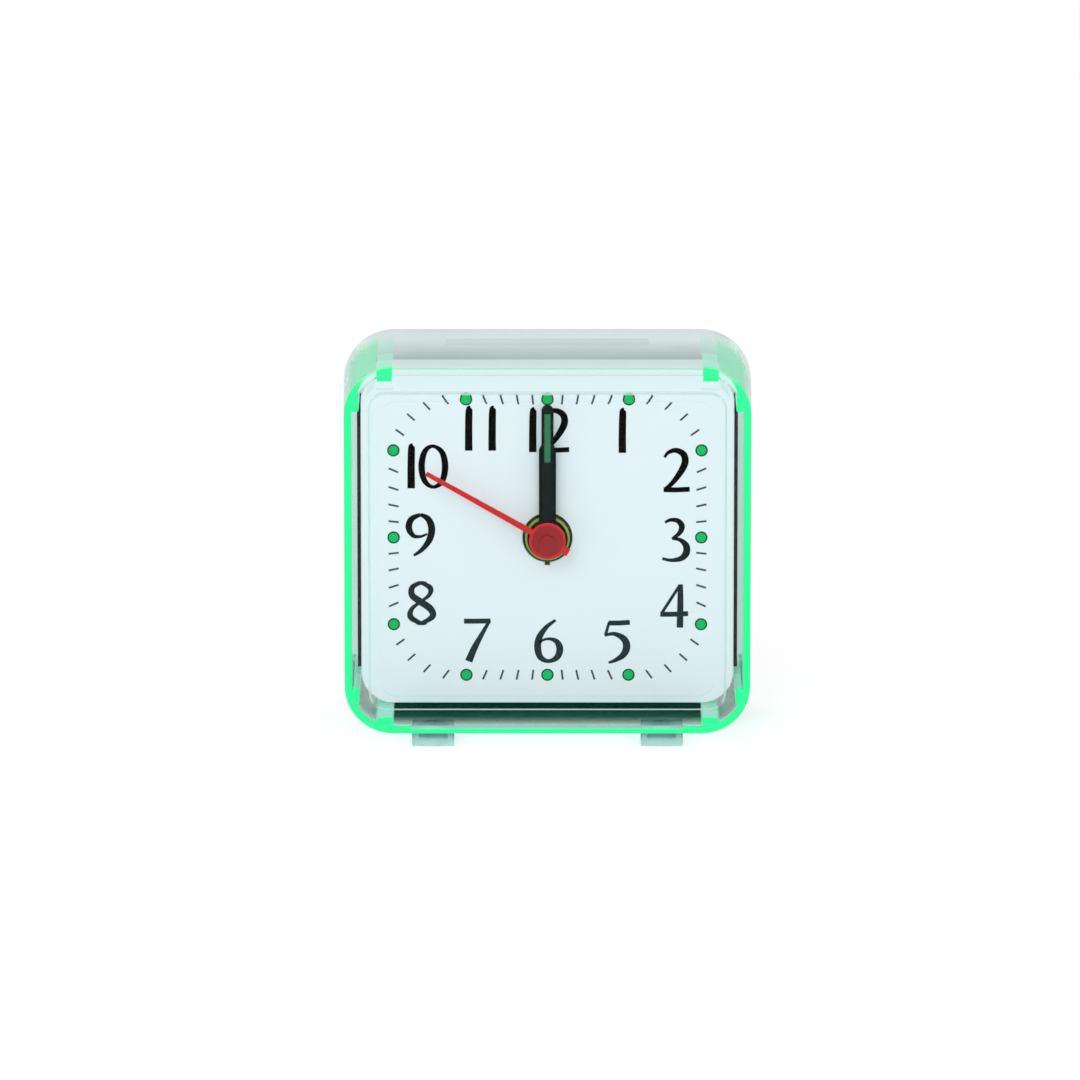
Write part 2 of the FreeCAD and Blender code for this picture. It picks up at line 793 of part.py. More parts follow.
def make_motion_work():
    """Cannon pinion, motion wheel, hour wheel and alarm wheel, with their nested pipes."""
    pieces = {}
    motion_back = motion_wheel_front + wheel_thickness
    hour_back = hour_wheel_front + wheel_thickness
    alarm_back = alarm_wheel_front + wheel_thickness
    pipe_front = minute_hand_back - hand_thickness
    pipe_back = centre_wheel_front + centre_hub_length + hand_gap

    cannon_phase = 0.0
    pipe = rod(minute_pipe_radius, pipe_front, pipe_back)
    cannon = gear(
        cannon_teeth, set_module, motion_wheel_front - fit_gap, motion_back + pinion_overlap,
        0.0, 0.0, cannon_phase,
    )
    bore = rod(arbor_radius + shaft_gap, pipe_front - overrun, pipe_back + overrun)
    pieces["minute_pipe"] = pipe.fuse(cannon).cut(bore)

    wheel_phase = mesh_phase(cannon_phase, cannon_teeth, motion_wheel_teeth, motion_direction)
    wheel = gear(
        motion_wheel_teeth, set_module, motion_wheel_front, motion_back, motion_x, motion_z, wheel_phase
    )
    pinion_phase = 0.0
    pinion = gear(
        motion_pinion_teeth, hour_module, hour_wheel_front, motion_wheel_front,
        motion_x, motion_z, pinion_phase,
    )
    stud_hole = rod(
        motion_stud_radius + shaft_gap, hour_wheel_front - overrun, motion_back + overrun,
        motion_x, motion_z,
    )
    pieces["motion_wheel"] = wheel.fuse(pinion).cut(stud_hole)

    phase = mesh_phase(pinion_phase, motion_pinion_teeth, hour_wheel_teeth, motion_direction + 180)
    wheel = gear(hour_wheel_teeth, hour_module, hour_wheel_front, hour_back, 0.0, 0.0, phase)
    pipe_front = hour_hand_back - hand_thickness
    wheel = wheel.fuse(rod(hour_pipe_radius, pipe_front, hour_back))
    bore = rod(minute_pipe_radius + shaft_gap, pipe_front - overrun, hour_back + overrun)
    pieces["hour_wheel"] = wheel.cut(bore)

    alarm_phase = 0.0
    wheel = gear(alarm_wheel_teeth, set_module, alarm_wheel_front, alarm_back, 0.0, 0.0, alarm_phase)
    pipe_front = alarm_hand_back - hand_thickness
    wheel = wheel.fuse(rod(alarm_pipe_radius, pipe_front, alarm_back))
    bore = rod(hour_pipe_radius + shaft_gap, pipe_front - overrun, alarm_back + overrun)
    pieces["alarm_wheel"] = wheel.cut(bore)

    phase = mesh_phase(alarm_phase, alarm_wheel_teeth, alarm_pinion_teeth, alarm_direction)
    pinion = gear(
        alarm_pinion_teeth, set_module, alarm_wheel_front, alarm_back + fit_gap, alarm_x, alarm_z, phase
    )
    shaft = rod(set_shaft_radius, alarm_wheel_front, knob_front + knob_height / 2, alarm_x, alarm_z)
    pieces["alarm_set_shaft"] = pinion.fuse(shaft)

    phase = mesh_phase(wheel_phase, motion_wheel_teeth, time_pinion_teeth, time_direction)
    pinion = gear(
        time_pinion_teeth, set_module, motion_wheel_front - fit_gap, motion_back + fit_gap,
        time_x, time_z, phase,
    )
    shaft = rod(
        set_shaft_radius, motion_wheel_front - fit_gap, knob_front + knob_height / 2, time_x, time_z
    )
    pieces["time_set_shaft"] = pinion.fuse(shaft)
    return pieces


def make_hands():
    """Alarm, hour, minute and second hands, each pressed on its own pipe."""
    pieces = {}
    front = alarm_hand_back - hand_thickness
    half = alarm_hand_width / 2
    blade = plate_from(
        [(-half, 0.0), (half, 0.0), (half, alarm_hand_length - half), (0.0, alarm_hand_length),
         (-half, alarm_hand_length - half)],
        front, alarm_hand_back,
    )
    hand = blade.fuse(rod(alarm_hub_radius, front, alarm_hand_back))
    pieces["alarm_hand"] = hand.cut(
        rod(alarm_pipe_radius + seat_gap, front - overrun, alarm_hand_back + overrun)
    )

    front = hour_hand_back - hand_thickness
    half = hour_hand_width / 2
    tip = hour_tip_width / 2
    shoulder = hour_hand_length - hour_tip_length
    blade = plate_from(
        [(-half, 0.0), (half, 0.0), (half, shoulder), (tip, hour_hand_length),
         (-tip, hour_hand_length), (-half, shoulder)],
        front, hour_hand_back,
    )
    hand = blade.fuse(rod(hour_hub_radius, front, hour_hand_back))
    pieces["hour_hand"] = hand.cut(
        rod(hour_pipe_radius + seat_gap, front - overrun, hour_hand_back + overrun)
    )

    front = minute_hand_back - hand_thickness
    half = minute_hand_width / 2
    reach = minute_hand_length - half
    blade = plate_from([(-half, 0.0), (half, 0.0), (half, reach), (-half, reach)], front, minute_hand_back)
    blade = blade.fuse(rod(half, front, minute_hand_back, 0.0, reach))
    hand = blade.fuse(rod(minute_hub_radius, front, minute_hand_back))
    pieces["minute_hand"] = hand.cut(
        rod(minute_pipe_radius + seat_gap, front - overrun, minute_hand_back + overrun)
    ).removeSplitter()

    front = second_hand_back - hand_thickness
    half = second_hand_width / 2
    tip = second_tip_width / 2
    tail = second_tail_width / 2
    blade = plate_from(
        [(0.0, -half), (second_hand_length, -tip), (second_hand_length, tip), (0.0, half),
         (0.0, tail), (-second_tail_length, tail), (-second_tail_length, -tail), (0.0, -tail)],
        front, second_hand_back,
    )
    blade.rotate(
        FreeCAD.Vector(0, 0, centre_z), FreeCAD.Vector(0, 1, 0), -second_hand_angle
    )
    hand = blade.fuse(rod(second_hub_radius, front, second_hand_back))
    hand = hand.fuse(rod(second_boss_radius, front - second_boss_rise, second_hand_back))
    pieces["second_hand"] = hand.cut(
        rod(arbor_radius + seat_gap, front - seat_gap, second_hand_back + overrun)
    )
    return pieces


def make_step_motor():
    """Soft-iron stator with its core, and the bobbin and winding on the core."""
    pieces = {}
    stator_back = stator_front + stator_thickness
    half = stator_width / 2
    left = rotor_x - half + stator_shift
    right = rotor_x + half + stator_shift
    stator = block(
        left, right, stator_front, stator_back, rotor_z - stator_height / 2, rotor_z + stator_height / 2
    )
    top = core_z + core_width / 2
    for inner, outer in ((left, left + stator_arm), (right - stator_arm, right)):
        stator = stator.fuse(block(inner, outer, stator_front, stator_back, rotor_z, top))
    stator = stator.fuse(block(left, right, stator_front, stator_back, core_z - core_width / 2, top))
    hole = rod(
        magnet_radius + stator_bore_gap, stator_front - overrun, stator_back + overrun, rotor_x, rotor_z
    )
    pieces["motor_stator"] = stator.cut(hole).removeSplitter()

    start = left + stator_arm + fit_gap
    length = stator_width - 2 * (stator_arm + fit_gap)
    axis_start = FreeCAD.Vector(start, y_at(stator_front + stator_thickness / 2), centre_z + core_z)
    along = FreeCAD.Vector(1, 0, 0)
    spool = Part.makeCylinder(bobbin_tube_radius, length, axis_start, along)
    for step in (0.0, length - bobbin_flange):
        spool = spool.fuse(
            Part.makeCylinder(bobbin_radius, bobbin_flange, axis_start + along * step, along)
        )
    core_hole = block(
        start - overrun, start + length + overrun, stator_front - seat_gap, stator_back + seat_gap,
        core_z - core_width / 2 - seat_gap, core_z + core_width / 2 + seat_gap,
    )
    pieces["coil_bobbin"] = spool.cut(core_hole)
    wound = length - 2 * (bobbin_flange + seat_gap)
    winding_start = axis_start + along * (bobbin_flange + seat_gap)
    winding = Part.makeCylinder(winding_radius, wound, winding_start, along)
    eye = Part.makeCylinder(bobbin_tube_radius + seat_gap, wound, winding_start, along)
    pieces["coil_winding"] = winding.cut(eye)
    return pieces


def make_electronics():
    """Circuit board with its chip and crystal, the buzzer and the alarm contact."""
    pieces = {}
    board_back = board_front + board_thickness
    middle_x = (board_left + board_right) / 2
    pieces["circuit_board"] = block(
        board_left, board_right, board_front, board_back, board_bottom, board_top
    )
    chip_middle = FreeCAD.Vector(middle_x, y_at(board_back), centre_z + chip_z)
    ball_radius = (chip_radius ** 2 + chip_height ** 2) / (2 * chip_height)
    ball = Part.makeSphere(ball_radius, chip_middle + FreeCAD.Vector(0, chip_height - ball_radius, 0))
    cap = rod(chip_radius, board_back, board_back + ball_radius, middle_x, chip_z)
    pieces["chip_blob"] = ball.common(cap)
    crystal_foot = FreeCAD.Vector(
        middle_x, y_at(board_back + crystal_radius), centre_z + crystal_z - crystal_length / 2
    )
    pieces["quartz_crystal"] = Part.makeCylinder(crystal_radius, crystal_length, crystal_foot)
    buzzer = rod(buzzer_radius, plate_back, buzzer_back, buzzer_x, buzzer_z)
    pieces["buzzer"] = buzzer.cut(
        rod(buzzer_port_radius, buzzer_back - buzzer_port_depth, buzzer_back + overrun, buzzer_x, buzzer_z)
    )
    low = leaf_z - leaf_width / 2
    high = leaf_z + leaf_width / 2
    lifted = plate_front - leaf_lift
    pad = block(leaf_right - leaf_pad, leaf_right, plate_front - leaf_thickness, plate_front, low, high)
    riser = block(
        leaf_right - leaf_pad - leaf_thickness, leaf_right - leaf_pad, lifted, plate_front, low, high
    )
    tongue = block(
        leaf_left, leaf_right - leaf_pad - leaf_thickness, lifted, lifted + leaf_thickness, low, high
    )
    pieces["alarm_contact_leaf"] = pad.fuse(riser).fuse(tongue).removeSplitter()
    return pieces


def lead_levels():
    """Depths of the tabs that carry the battery current to the board."""
    front = board_front + board_thickness
    return front, front + contact_tab


def make_battery():
    """Dry cell along X with a spring leaf at its flat end and a plate at its nub."""
    pieces = {}
    along = FreeCAD.Vector(1, 0, 0)
    inner_right = tub_half_width - contact_thickness
    body_length = cell_length - cell_nub_length
    start = FreeCAD.Vector(inner_right - cell_length, y_at(cell_depth), centre_z + cell_z)
    can = Part.makeCylinder(cell_radius, body_length, start, along)
    rims = [edge for edge in can.Edges if edge.BoundBox.XLength < seat_gap]
    can = can.makeChamfer(cell_bevel, rims)
    nub_start = start + along * (body_length - cell_bevel)
    nub = Part.makeCylinder(cell_nub_radius, cell_nub_length + cell_bevel, nub_start, along)
    pieces["battery_cell"] = can.fuse(nub)

    tab_front, tab_back = lead_levels()
    low = cell_z - contact_width / 2
    high = cell_z + contact_width / 2
    rise = board_bottom + contact_tab
    half = contact_width / 2
    left = -tub_half_width
    plate = block(left, left + contact_thickness, cell_depth - half, cell_depth + half, low, high)
    tab = block(left, left + contact_thickness, tab_front, tab_back, low, rise)
    tongue_outline = [
        (left + contact_thickness, low),
        (left + spring_leaf_rise, cell_z),
        (left + spring_leaf_rise, cell_z + contact_thickness),
        (left, low + contact_thickness),
    ]
    tongue = plate_from(tongue_outline, cell_depth - half / 2, cell_depth + half / 2)
    pieces["battery_spring_contact"] = plate.fuse(tab).fuse(tongue).removeSplitter()

    right = tub_half_width
    plate = block(right - contact_thickness, right, cell_depth - half, cell_depth + half, low, high)
    tab = block(right - contact_thickness, right, tab_front, tab_back, low, tub_top + contact_thickness)
    end = (board_left + board_right) / 2
    strip = block(end, right, tab_front, tab_back, tub_top, tub_top + contact_thickness)
    riser = block(end, end + contact_thickness, tab_front, tab_back, tub_top, rise)
    pieces["battery_plate_contact"] = plate.fuse(tab).fuse(strip).fuse(riser).removeSplitter()
    return pieces


def door_frame():
    """Left, right, bottom and top of the battery door's recess."""
    half = tub_half_width + door_seat
    return -half, half, tub_low - door_seat / 2, tub_high + door_seat / 2


def make_rear_cover():
    """White back with its box, the battery compartment and the openings for the controls."""
    flange_width = case_width + 2 * case_flare
    flange_height = case_height + 2 * case_flare
    flange = rounded_slab(
        flange_width, flange_height, case_corner + case_flare, case_depth, cover_back
    )
    flange = flange.makeFillet(cover_round, edges_at(flange, cover_back))
    wall = 2 * cover_wall
    box = rounded_slab(tray_width, tray_height, tray_corner, plate_back, case_depth)
    hollow = rounded_slab(
        tray_width - wall, tray_height - wall, tray_corner - cover_wall, plate_back - overrun, case_depth
    )
    box = box.cut(hollow)
    outer = tub_half_width + tub_wall
    tub = block(-outer, outer, tray_back, case_depth, tub_low, tub_top)
    tub_floor = block(-outer, outer, tray_back, plate_back, tub_low - cover_wall, tub_low)
    cover = flange.fuse(box).fuse(tub).fuse(tub_floor)
    left, right, bottom, top = door_frame()
    cover = cover.cut(block(
        -tub_half_width, tub_half_width, tub_floor_back, cover_back + overrun, tub_low, tub_high
    ))
    cover = cover.cut(block(left, right, door_front - fit_gap, cover_back + overrun, bottom, top))
    tab_front, tab_back = lead_levels()
    for side in (-1, 1):
        near, far = sorted((side * (tub_half_width - contact_thickness - fit_gap), side * tub_half_width))
        cover = cover.cut(block(
            near, far, tab_front - fit_gap, tab_back + fit_gap, cell_z, tub_top + overrun
        ))
    for x, z in ((time_x, time_z), (alarm_x, alarm_z)):
        cover = cover.cut(rod(
            set_shaft_radius + shaft_gap, case_depth - overrun, cover_back + overrun, x, z
        ))
    for index in range(sound_hole_count + 1):
        step_x, step_z = polar(sound_ring_radius, 360 * index / sound_hole_count)
        if index == sound_hole_count:
            step_x, step_z = 0.0, 0.0
        cover = cover.cut(rod(
            sound_hole_radius, case_depth - overrun, cover_back + overrun,
            buzzer_x + step_x, buzzer_z + step_z,
        ))
    slot_half = switch_stem_height / 2 + slide_gap
    cover = cover.cut(block(
        switch_x - switch_stem_width / 2 - slide_gap,
        switch_x + switch_travel + switch_stem_width / 2 + slide_gap,
        case_depth - overrun, cover_back + overrun, switch_z - slot_half, switch_z + slot_half,
    ))
    return cover.removeSplitter()


def make_battery_door():
    """Flat door that tips out about its rounded lower edge, with ribs for the thumb."""
    left, right, bottom, top = door_frame()
    low = bottom + door_gap + door_end_radius
    high = top - door_gap
    door = block(left + door_gap, right - door_gap, door_front, cover_back, low, high)
    start = FreeCAD.Vector(left + door_gap, y_at(door_front + door_end_radius), centre_z + low)
    length = right - left - 2 * door_gap
    door = door.fuse(Part.makeCylinder(door_end_radius, length, start, FreeCAD.Vector(1, 0, 0)))
    for index in range(door_rib_count):
        rib_z = high - door_rib_pitch * (index + 1)
        door = door.fuse(block(
            -door_rib_length / 2, door_rib_length / 2, cover_back, cover_back + door_rib_rise,
            rib_z - door_rib_width / 2, rib_z + door_rib_width / 2,
        ))
    return door.removeSplitter()


def make_knob(x, z):
    """Dished setting knob with a fluted rim."""
    back = knob_front + knob_height
    pitch = 360 / knob_groove_count
    half_groove = knob_groove_share * pitch
    points = []
    for index in range(knob_groove_count):
        middle = index * pitch
        points.append(polar(knob_radius - knob_groove_depth, middle))
        points.append(polar(knob_radius, middle + half_groove))
        points.append(polar(knob_radius, middle + pitch / 2))
        points.append(polar(knob_radius, middle + pitch - half_groove))
    knob = plate_from(points, knob_front, back, x, z)
    knob = knob.cut(rod(knob_dish_radius, back - knob_dish_depth, back + overrun, x, z))
    return knob.cut(rod(
        set_shaft_radius + seat_gap, knob_front - overrun, knob_front + knob_height / 2 + seat_gap, x, z
    ))


def make_alarm_switch():
    """Slide button for the alarm, with a stem through the cover and a flange inside it."""
    flange_back = case_depth - fit_gap
    middle = switch_x + switch_stem_width / 2
    cap = block(
        switch_x - switch_cap_width / 2, switch_x + switch_cap_width / 2,
        cover_back + fit_gap, cover_back + fit_gap + switch_cap_rise,
        switch_z - switch_cap_height / 2, switch_z + switch_cap_height / 2,
    )
    stem = block(
        switch_x - switch_stem_width / 2, switch_x + switch_stem_width / 2,
        flange_back - switch_flange_thickness, cover_back + fit_gap,
        switch_z - switch_stem_height / 2, switch_z + switch_stem_height / 2,
    )
    flange = block(
        middle - switch_flange_length / 2, middle + switch_flange_length / 2,
        flange_back - switch_flange_thickness, flange_back,
        switch_z - switch_flange_height / 2, switch_z + switch_flange_height / 2,
    )
    return cap.fuse(stem).fuse(flange).removeSplitter()


def build():
    """All pieces of the clock by name."""
    pieces = {
        "case_shell": make_case_shell(),
        "case_feet": make_feet(),
        "front_lens": make_front_lens(),
        "dial_plate": make_dial_plate(),
        "dial_tray": make_dial_tray(),
        "centre_bush": make_centre_bush(),
        "movement_front_plate": make_front_plate(),
        "movement_back_plate": make_back_plate(),
        "movement_screws": make_movement_screws(),
        "rear_cover": make_rear_cover(),
        "battery_door": make_battery_door(),
        "time_set_knob": make_knob(time_x, time_z),
        "alarm_set_knob": make_knob(alarm_x, alarm_z),
        "alarm_switch": make_alarm_switch(),
    }
    pieces.update(make_train())
    pieces.update(make_motion_work())
    pieces.update(make_hands())
    pieces.update(make_step_motor())
    pieces.update(make_electronics())
    pieces.update(make_battery())
    return pieces


for name, shape in build().items():
    shape.exportStep(os.path.join("parts", name + ".step"))
    box = shape.BoundBox
    print(name, len(shape.Solids), shape.isValid(), round(shape.Volume, 2), len(shape.Faces),
          [round(v, 2) for v in (box.XMin, box.XMax, box.YMin, box.YMax, box.ZMin, box.ZMax)])
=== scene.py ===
"""Looks of a small square quartz alarm clock in a tinted clear case.

The clock is dressed from the front to the back: case, feet, lens, dial and its print, tray, hands,
movement, rear cover. Lengths are in metres in the clock's own frame: the dial faces -Y, +Z is up.
"""

import math

import bmesh
import bpy
from mathutils import Matrix, Vector


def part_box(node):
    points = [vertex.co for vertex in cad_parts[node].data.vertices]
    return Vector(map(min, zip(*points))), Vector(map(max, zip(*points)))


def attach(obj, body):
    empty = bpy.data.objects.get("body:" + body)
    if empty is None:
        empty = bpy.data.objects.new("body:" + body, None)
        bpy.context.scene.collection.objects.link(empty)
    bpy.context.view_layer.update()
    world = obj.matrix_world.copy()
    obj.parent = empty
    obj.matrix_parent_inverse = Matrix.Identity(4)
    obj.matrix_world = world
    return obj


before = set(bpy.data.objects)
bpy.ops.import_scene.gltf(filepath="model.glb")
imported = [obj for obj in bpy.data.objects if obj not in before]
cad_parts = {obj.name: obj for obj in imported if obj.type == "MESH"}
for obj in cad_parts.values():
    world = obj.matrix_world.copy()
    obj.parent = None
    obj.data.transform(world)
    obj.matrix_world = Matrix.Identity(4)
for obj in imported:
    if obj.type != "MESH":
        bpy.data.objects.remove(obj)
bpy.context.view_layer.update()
mm = 0.001


# Case shell
# One moulding of fluorescent green acrylic, pale through its thin walls and bright where the light
# that is caught in the walls comes out again: at the front rim and at the ends of the inner rails.
# That brightness, the green in the top corners and the rails' pale green are painted glow, colour
# that gives off light, and the lower walls and the top wall behind the tray carry painted shade.

# Its colours, and how much light each gives off
CASE_TINT = (0.95, 1.0, 0.985, 1.0)
CASE_IOR = 1.12
CASE_ABSORB = (0.25, 1.0, 0.68, 1.0)
CASE_DENSITY = 30.0
# Painted glow: colours that give off light at the rim, the rails' ends, the top corners and along
# the rails, standing in for the light caught in the walls
CASE_GLOW = (0.022, 0.84, 0.28, 1.0)
CASE_GLOW_SHADE = (0.018, 0.77, 0.24, 1.0)
GLOW_STRENGTH = 0.30
CORNER_GLOW = (0.10, 0.70, 0.36, 1.0)
CORNER_GLOW_SHADE = (0.17, 0.78, 0.46, 1.0)
CORNER_STRENGTH = 0.1
RAIL_GLOW = (0.36, 0.82, 0.66, 1.0)
RAIL_GLOW_SHADE = (0.26, 0.72, 0.54, 1.0)
RAIL_STRENGTH = 0.12
HAZE_CLEAR = (0.74, 0.87, 0.89, 1.0)
HAZE_REAR = (0.78, 0.89, 0.90, 1.0)
# Painted shade on the top wall behind the tray
HAZE_PAINTED_SHADE = (0.34, 0.46, 0.47, 1.0)
HAZE_LILAC = (0.50, 0.54, 0.60, 1.0)
# Painted shade of the lower walls
CASE_PAINTED_SHADE = (0.009, 0.070, 0.046, 1.0)
CASE_PAINTED_SHADE_TONE = (0.018, 0.105, 0.070, 1.0)

# Places on the moulding: depths back from the rim, and distances from the rim's middle
CASE_CORNER = 6.8 * mm
WALL = 1.1 * mm
RAIL_X = 22.8 * mm
RAIL_HALF = 1.2 * mm
RAIL_HEIGHT = 3.0 * mm
RAIL_END = 1.5 * mm
RAIL_PALE_END = 10.5 * mm
RAIL_REAR = 20.5 * mm
RIM_DEPTH = 0.5 * mm
RIM_TOP_BAND = 0.18 * mm
RIM_SIDE_BAND = 1.6 * mm
RIM_BOTTOM_THINNING = 1.1 * mm
THIN_BAND_END = 21.0 * mm
THIN_BAND_FULL = 18.5 * mm
TOP_SHADE_START = 6.2 * mm
TOP_SHADE_END = 22.0 * mm
LILAC_HALF = 14.5 * mm
LILAC_FRONT = 15.8 * mm
LILAC_REAR = 20.6 * mm
CORNER_FADE_START = 15.0 * mm
CORNER_FADE_END = 26.5 * mm
FLOOR_SHADE_DEPTH = 8.5 * mm
WALL_SHADE_DEPTH = 7.0 * mm
LOWER_WALL_TOP = -18.5 * mm
LOWER_WALL_FULL = -20.5 * mm
LOWER_CORNER_START = 23.2 * mm
LOWER_CORNER_FULL = 25.0 * mm
UPWARD_FACES = (0.1, 0.3)
LEVEL_FACES = (0.7, 0.95)

# Shares of each finish where it lies over the clear plastic
HAZE_SHARE = 0.7
HAZE_STREAKS = 0.4
LILAC_SHARE = 0.45
RIM_HAZE_SHARE = 0.85
CORNER_SHARE = 0.9
WALL_SHADE_SHARE = 0.75
LOWER_CORNER_LIGHT = 0.6
RAIL_SHARE = 0.55
RAIL_SHARE_FRONT = 0.25
SEEN_RAIL_SHARE = 0.3
SEEN_RAIL_SHARE_FRONT = 0.5
RIM_BOTTOM_GLOW = 0.75
RIM_TOP_SHARE = 0.4

lens_low, lens_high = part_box("front_lens")
rim_middle = Vector((0.0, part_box("case_shell")[0].y, (lens_low.z + lens_high.z) / 2))
inner_half_width = (lens_high.x - lens_low.x) / 2 + 0.1 * mm
inner_half_height = (lens_high.z - lens_low.z) / 2 + 0.1 * mm


def new_material(name):
    """Node material, its node tree and its Principled shader."""
    material = bpy.data.materials.new(name)
    material.use_nodes = True
    return material, material.node_tree, material.node_tree.nodes["Principled BSDF"]


def object_noise(tree, scale, detail=4.0, roughness=0.55):
    """Noise that sits still on the piece, since it reads the piece's own coordinates."""
    place = tree.nodes.new("ShaderNodeTexCoord")
    noise = tree.nodes.new("ShaderNodeTexNoise")
    noise.inputs["Scale"].default_value = scale
    noise.inputs["Detail"].default_value = detail
    noise.inputs["Roughness"].default_value = roughness
    tree.links.new(place.outputs["Object"], noise.inputs["Vector"])
    return noise.outputs["Fac"]


def axes_of(tree, kind, output):
    """The three parts of a vector that a node gives, such as a point or the way a face points."""
    split = tree.nodes.new("ShaderNodeSeparateXYZ")
    tree.links.new(tree.nodes.new(kind).outputs[output], split.inputs["Vector"])
    return split.outputs["X"], split.outputs["Y"], split.outputs["Z"]


def spread(tree, source, low, high):
    """Turns a 0 to 1 value into one between two levels."""
    span = tree.nodes.new("ShaderNodeMapRange")
    span.inputs["To Min"].default_value = low
    span.inputs["To Max"].default_value = high
    tree.links.new(source, span.inputs["Value"])
    return span.outputs["Result"]


def rise(tree, value, start, end):
    """Smooth step from 0 at start to 1 at end, up or down the axis."""
    span = tree.nodes.new("ShaderNodeMapRange")
    span.interpolation_type = "SMOOTHSTEP"
    span.inputs["From Min"].default_value = start
    span.inputs["From Max"].default_value = end
    tree.links.new(value, span.inputs["Value"])
    return span.outputs["Result"]


def calc(tree, operation, *values):
    """One sum on numbers or sockets."""
    node = tree.nodes.new("ShaderNodeMath")
    node.operation = operation
    for socket, value in zip(node.inputs, values):
        if isinstance(value, (int, float)):
            socket.default_value = value
        else:
            tree.links.new(value, socket)
    return node.outputs["Value"]


# Sums by their plain names
def plus(tree, first, second):
    return calc(tree, "ADD", first, second)


def minus(tree, first, second):
    return calc(tree, "SUBTRACT", first, second)


def times(tree, *values):
    product = values[0]
    for value in values[1:]:
        product = calc(tree, "MULTIPLY", product, value)
    return product


def largest(tree, first, second):
    return calc(tree, "MAXIMUM", first, second)


def size_of(tree, value):
    return calc(tree, "ABSOLUTE", value)


def tint_pair(tree, factor, first, second):
    """Blends two colours, or sockets, of one finish."""
    mix = tree.nodes.new("ShaderNodeMix")
    mix.data_type = "RGBA"
    for end, value in (("A", first), ("B", second)):
        if isinstance(value, tuple):
            mix.inputs[end].default_value = value
        else:
            tree.links.new(value, mix.inputs[end])
    tree.links.new(factor, mix.inputs["Factor"])
    return mix.outputs["Result"]


def layer(tree, share, below, above):
    """Lays one finish over another where the share is high."""
    blend = tree.nodes.new("ShaderNodeMixShader")
    if isinstance(share, float):
        blend.inputs["Fac"].default_value = share
    else:
        tree.links.new(share, blend.inputs["Fac"])
    tree.links.new(below, blend.inputs[1])
    tree.links.new(above, blend.inputs[2])
    return blend.outputs["Shader"]


def let_light_in(tree, surface, tint):
    """Lets the lamps and bounced light shine through clear plastic, as they do in life."""
    path = tree.nodes.new("ShaderNodeLightPath")
    clear = tree.nodes.new("ShaderNodeBsdfTransparent")
    clear.inputs["Color"].default_value = tint
    through = largest(tree, path.outputs["Is Shadow Ray"], path.outputs["Is Diffuse Ray"])
    surface = layer(tree, through, surface, clear.outputs["BSDF"])
    tree.links.new(surface, tree.nodes["Material Output"].inputs["Surface"])


def clear_plastic(name, tint, ior, rough):
    """Clear moulding with faint flow marks in its gloss."""
    material, tree, shader = new_material(name)
    shader.inputs["Base Color"].default_value = tint
    shader.inputs["Transmission Weight"].default_value = 1.0
    shader.inputs["IOR"].default_value = ior
    flow = object_noise(tree, scale=140.0, detail=2.0)
    tree.links.new(spread(tree, flow, *rough), shader.inputs["Roughness"])
    return material, tree, shader.outputs["BSDF"]


def two_tone(tree, first, second, scale, glow=0.0, shine=0.2):
    """Cloudy part of a clear moulding, or a painted glow, shade or highlight laid on one: two close
    tones, and the light that it gives off.
    """
    part = tree.nodes.new("ShaderNodeBsdfPrincipled")
    part.inputs["Roughness"].default_value = 0.3
    part.inputs["Specular IOR Level"].default_value = shine
    part.inputs["Emission Strength"].default_value = glow
    colour = tint_pair(tree, object_noise(tree, scale, detail=2.0), first, second)
    tree.links.new(colour, part.inputs["Base Color"])
    tree.links.new(colour, part.inputs["Emission Color"])
    return part


def dress(node, material):
    """Gives a CAD piece its finish."""
    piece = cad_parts[node]
    for slot in piece.material_slots:
        slot.material = material
    if not piece.material_slots:
        piece.data.materials.append(material)


case_plastic, tree, surface = clear_plastic("green_acrylic", CASE_TINT, CASE_IOR, rough=(0.05, 0.1))

# Depth runs back from the rim and height up from its middle. Within is how far a point lies out of
# the case's inner faces, and inward how far it lies in from the rim's rounded outline.
across, back, up = axes_of(tree, "ShaderNodeTexCoord", "Object")
faces_up = axes_of(tree, "ShaderNodeNewGeometry", "True Normal")[2]
depth = minus(tree, back, rim_middle.y)
height = minus(tree, up, rim_middle.z)
out_x = size_of(tree, across)
out_z = size_of(tree, height)
within = largest(tree, minus(tree, out_x, inner_half_width), minus(tree, out_z, inner_half_height))
past_x = largest(tree, minus(tree, out_x, inner_half_width + WALL - CASE_CORNER), 0.0)
past_z = largest(tree, minus(tree, out_z, inner_half_height + WALL - CASE_CORNER), 0.0)
reach = calc(tree, "SQRT", plus(tree, times(tree, past_x, past_x), times(tree, past_z, past_z)))
inward = minus(tree, CASE_CORNER, reach)
at_rim = rise(tree, depth, 1.1 * RIM_DEPTH, RIM_DEPTH)

# The top wall is hazy: clear white over the tray, darkened behind it by painted shade with a lilac
# patch, and lighter again to the rear where the painted shade fades. The upper rim shares the
# white.
streaks = times(tree, minus(tree, object_noise(tree, scale=90.0, detail=3.0), 0.5), HAZE_STREAKS)
to_rear = plus(tree, rise(tree, depth, TOP_SHADE_START, TOP_SHADE_END), streaks)
lilac = times(tree, rise(tree, out_x, LILAC_HALF, LILAC_HALF - 0.3 * mm),
              rise(tree, depth, LILAC_FRONT - 0.2 * mm, LILAC_FRONT + 0.2 * mm),
              rise(tree, depth, LILAC_REAR + 0.2 * mm, LILAC_REAR - 0.2 * mm), LILAC_SHARE)
shade_and_lilac = tint_pair(tree, lilac, tint_pair(tree, to_rear, HAZE_PAINTED_SHADE, HAZE_REAR), HAZE_LILAC)
behind_tray = rise(tree, depth, TOP_SHADE_START - 0.2 * mm, TOP_SHADE_START + 0.2 * mm)
haze = two_tone(tree, HAZE_CLEAR, HAZE_CLEAR, scale=60.0)
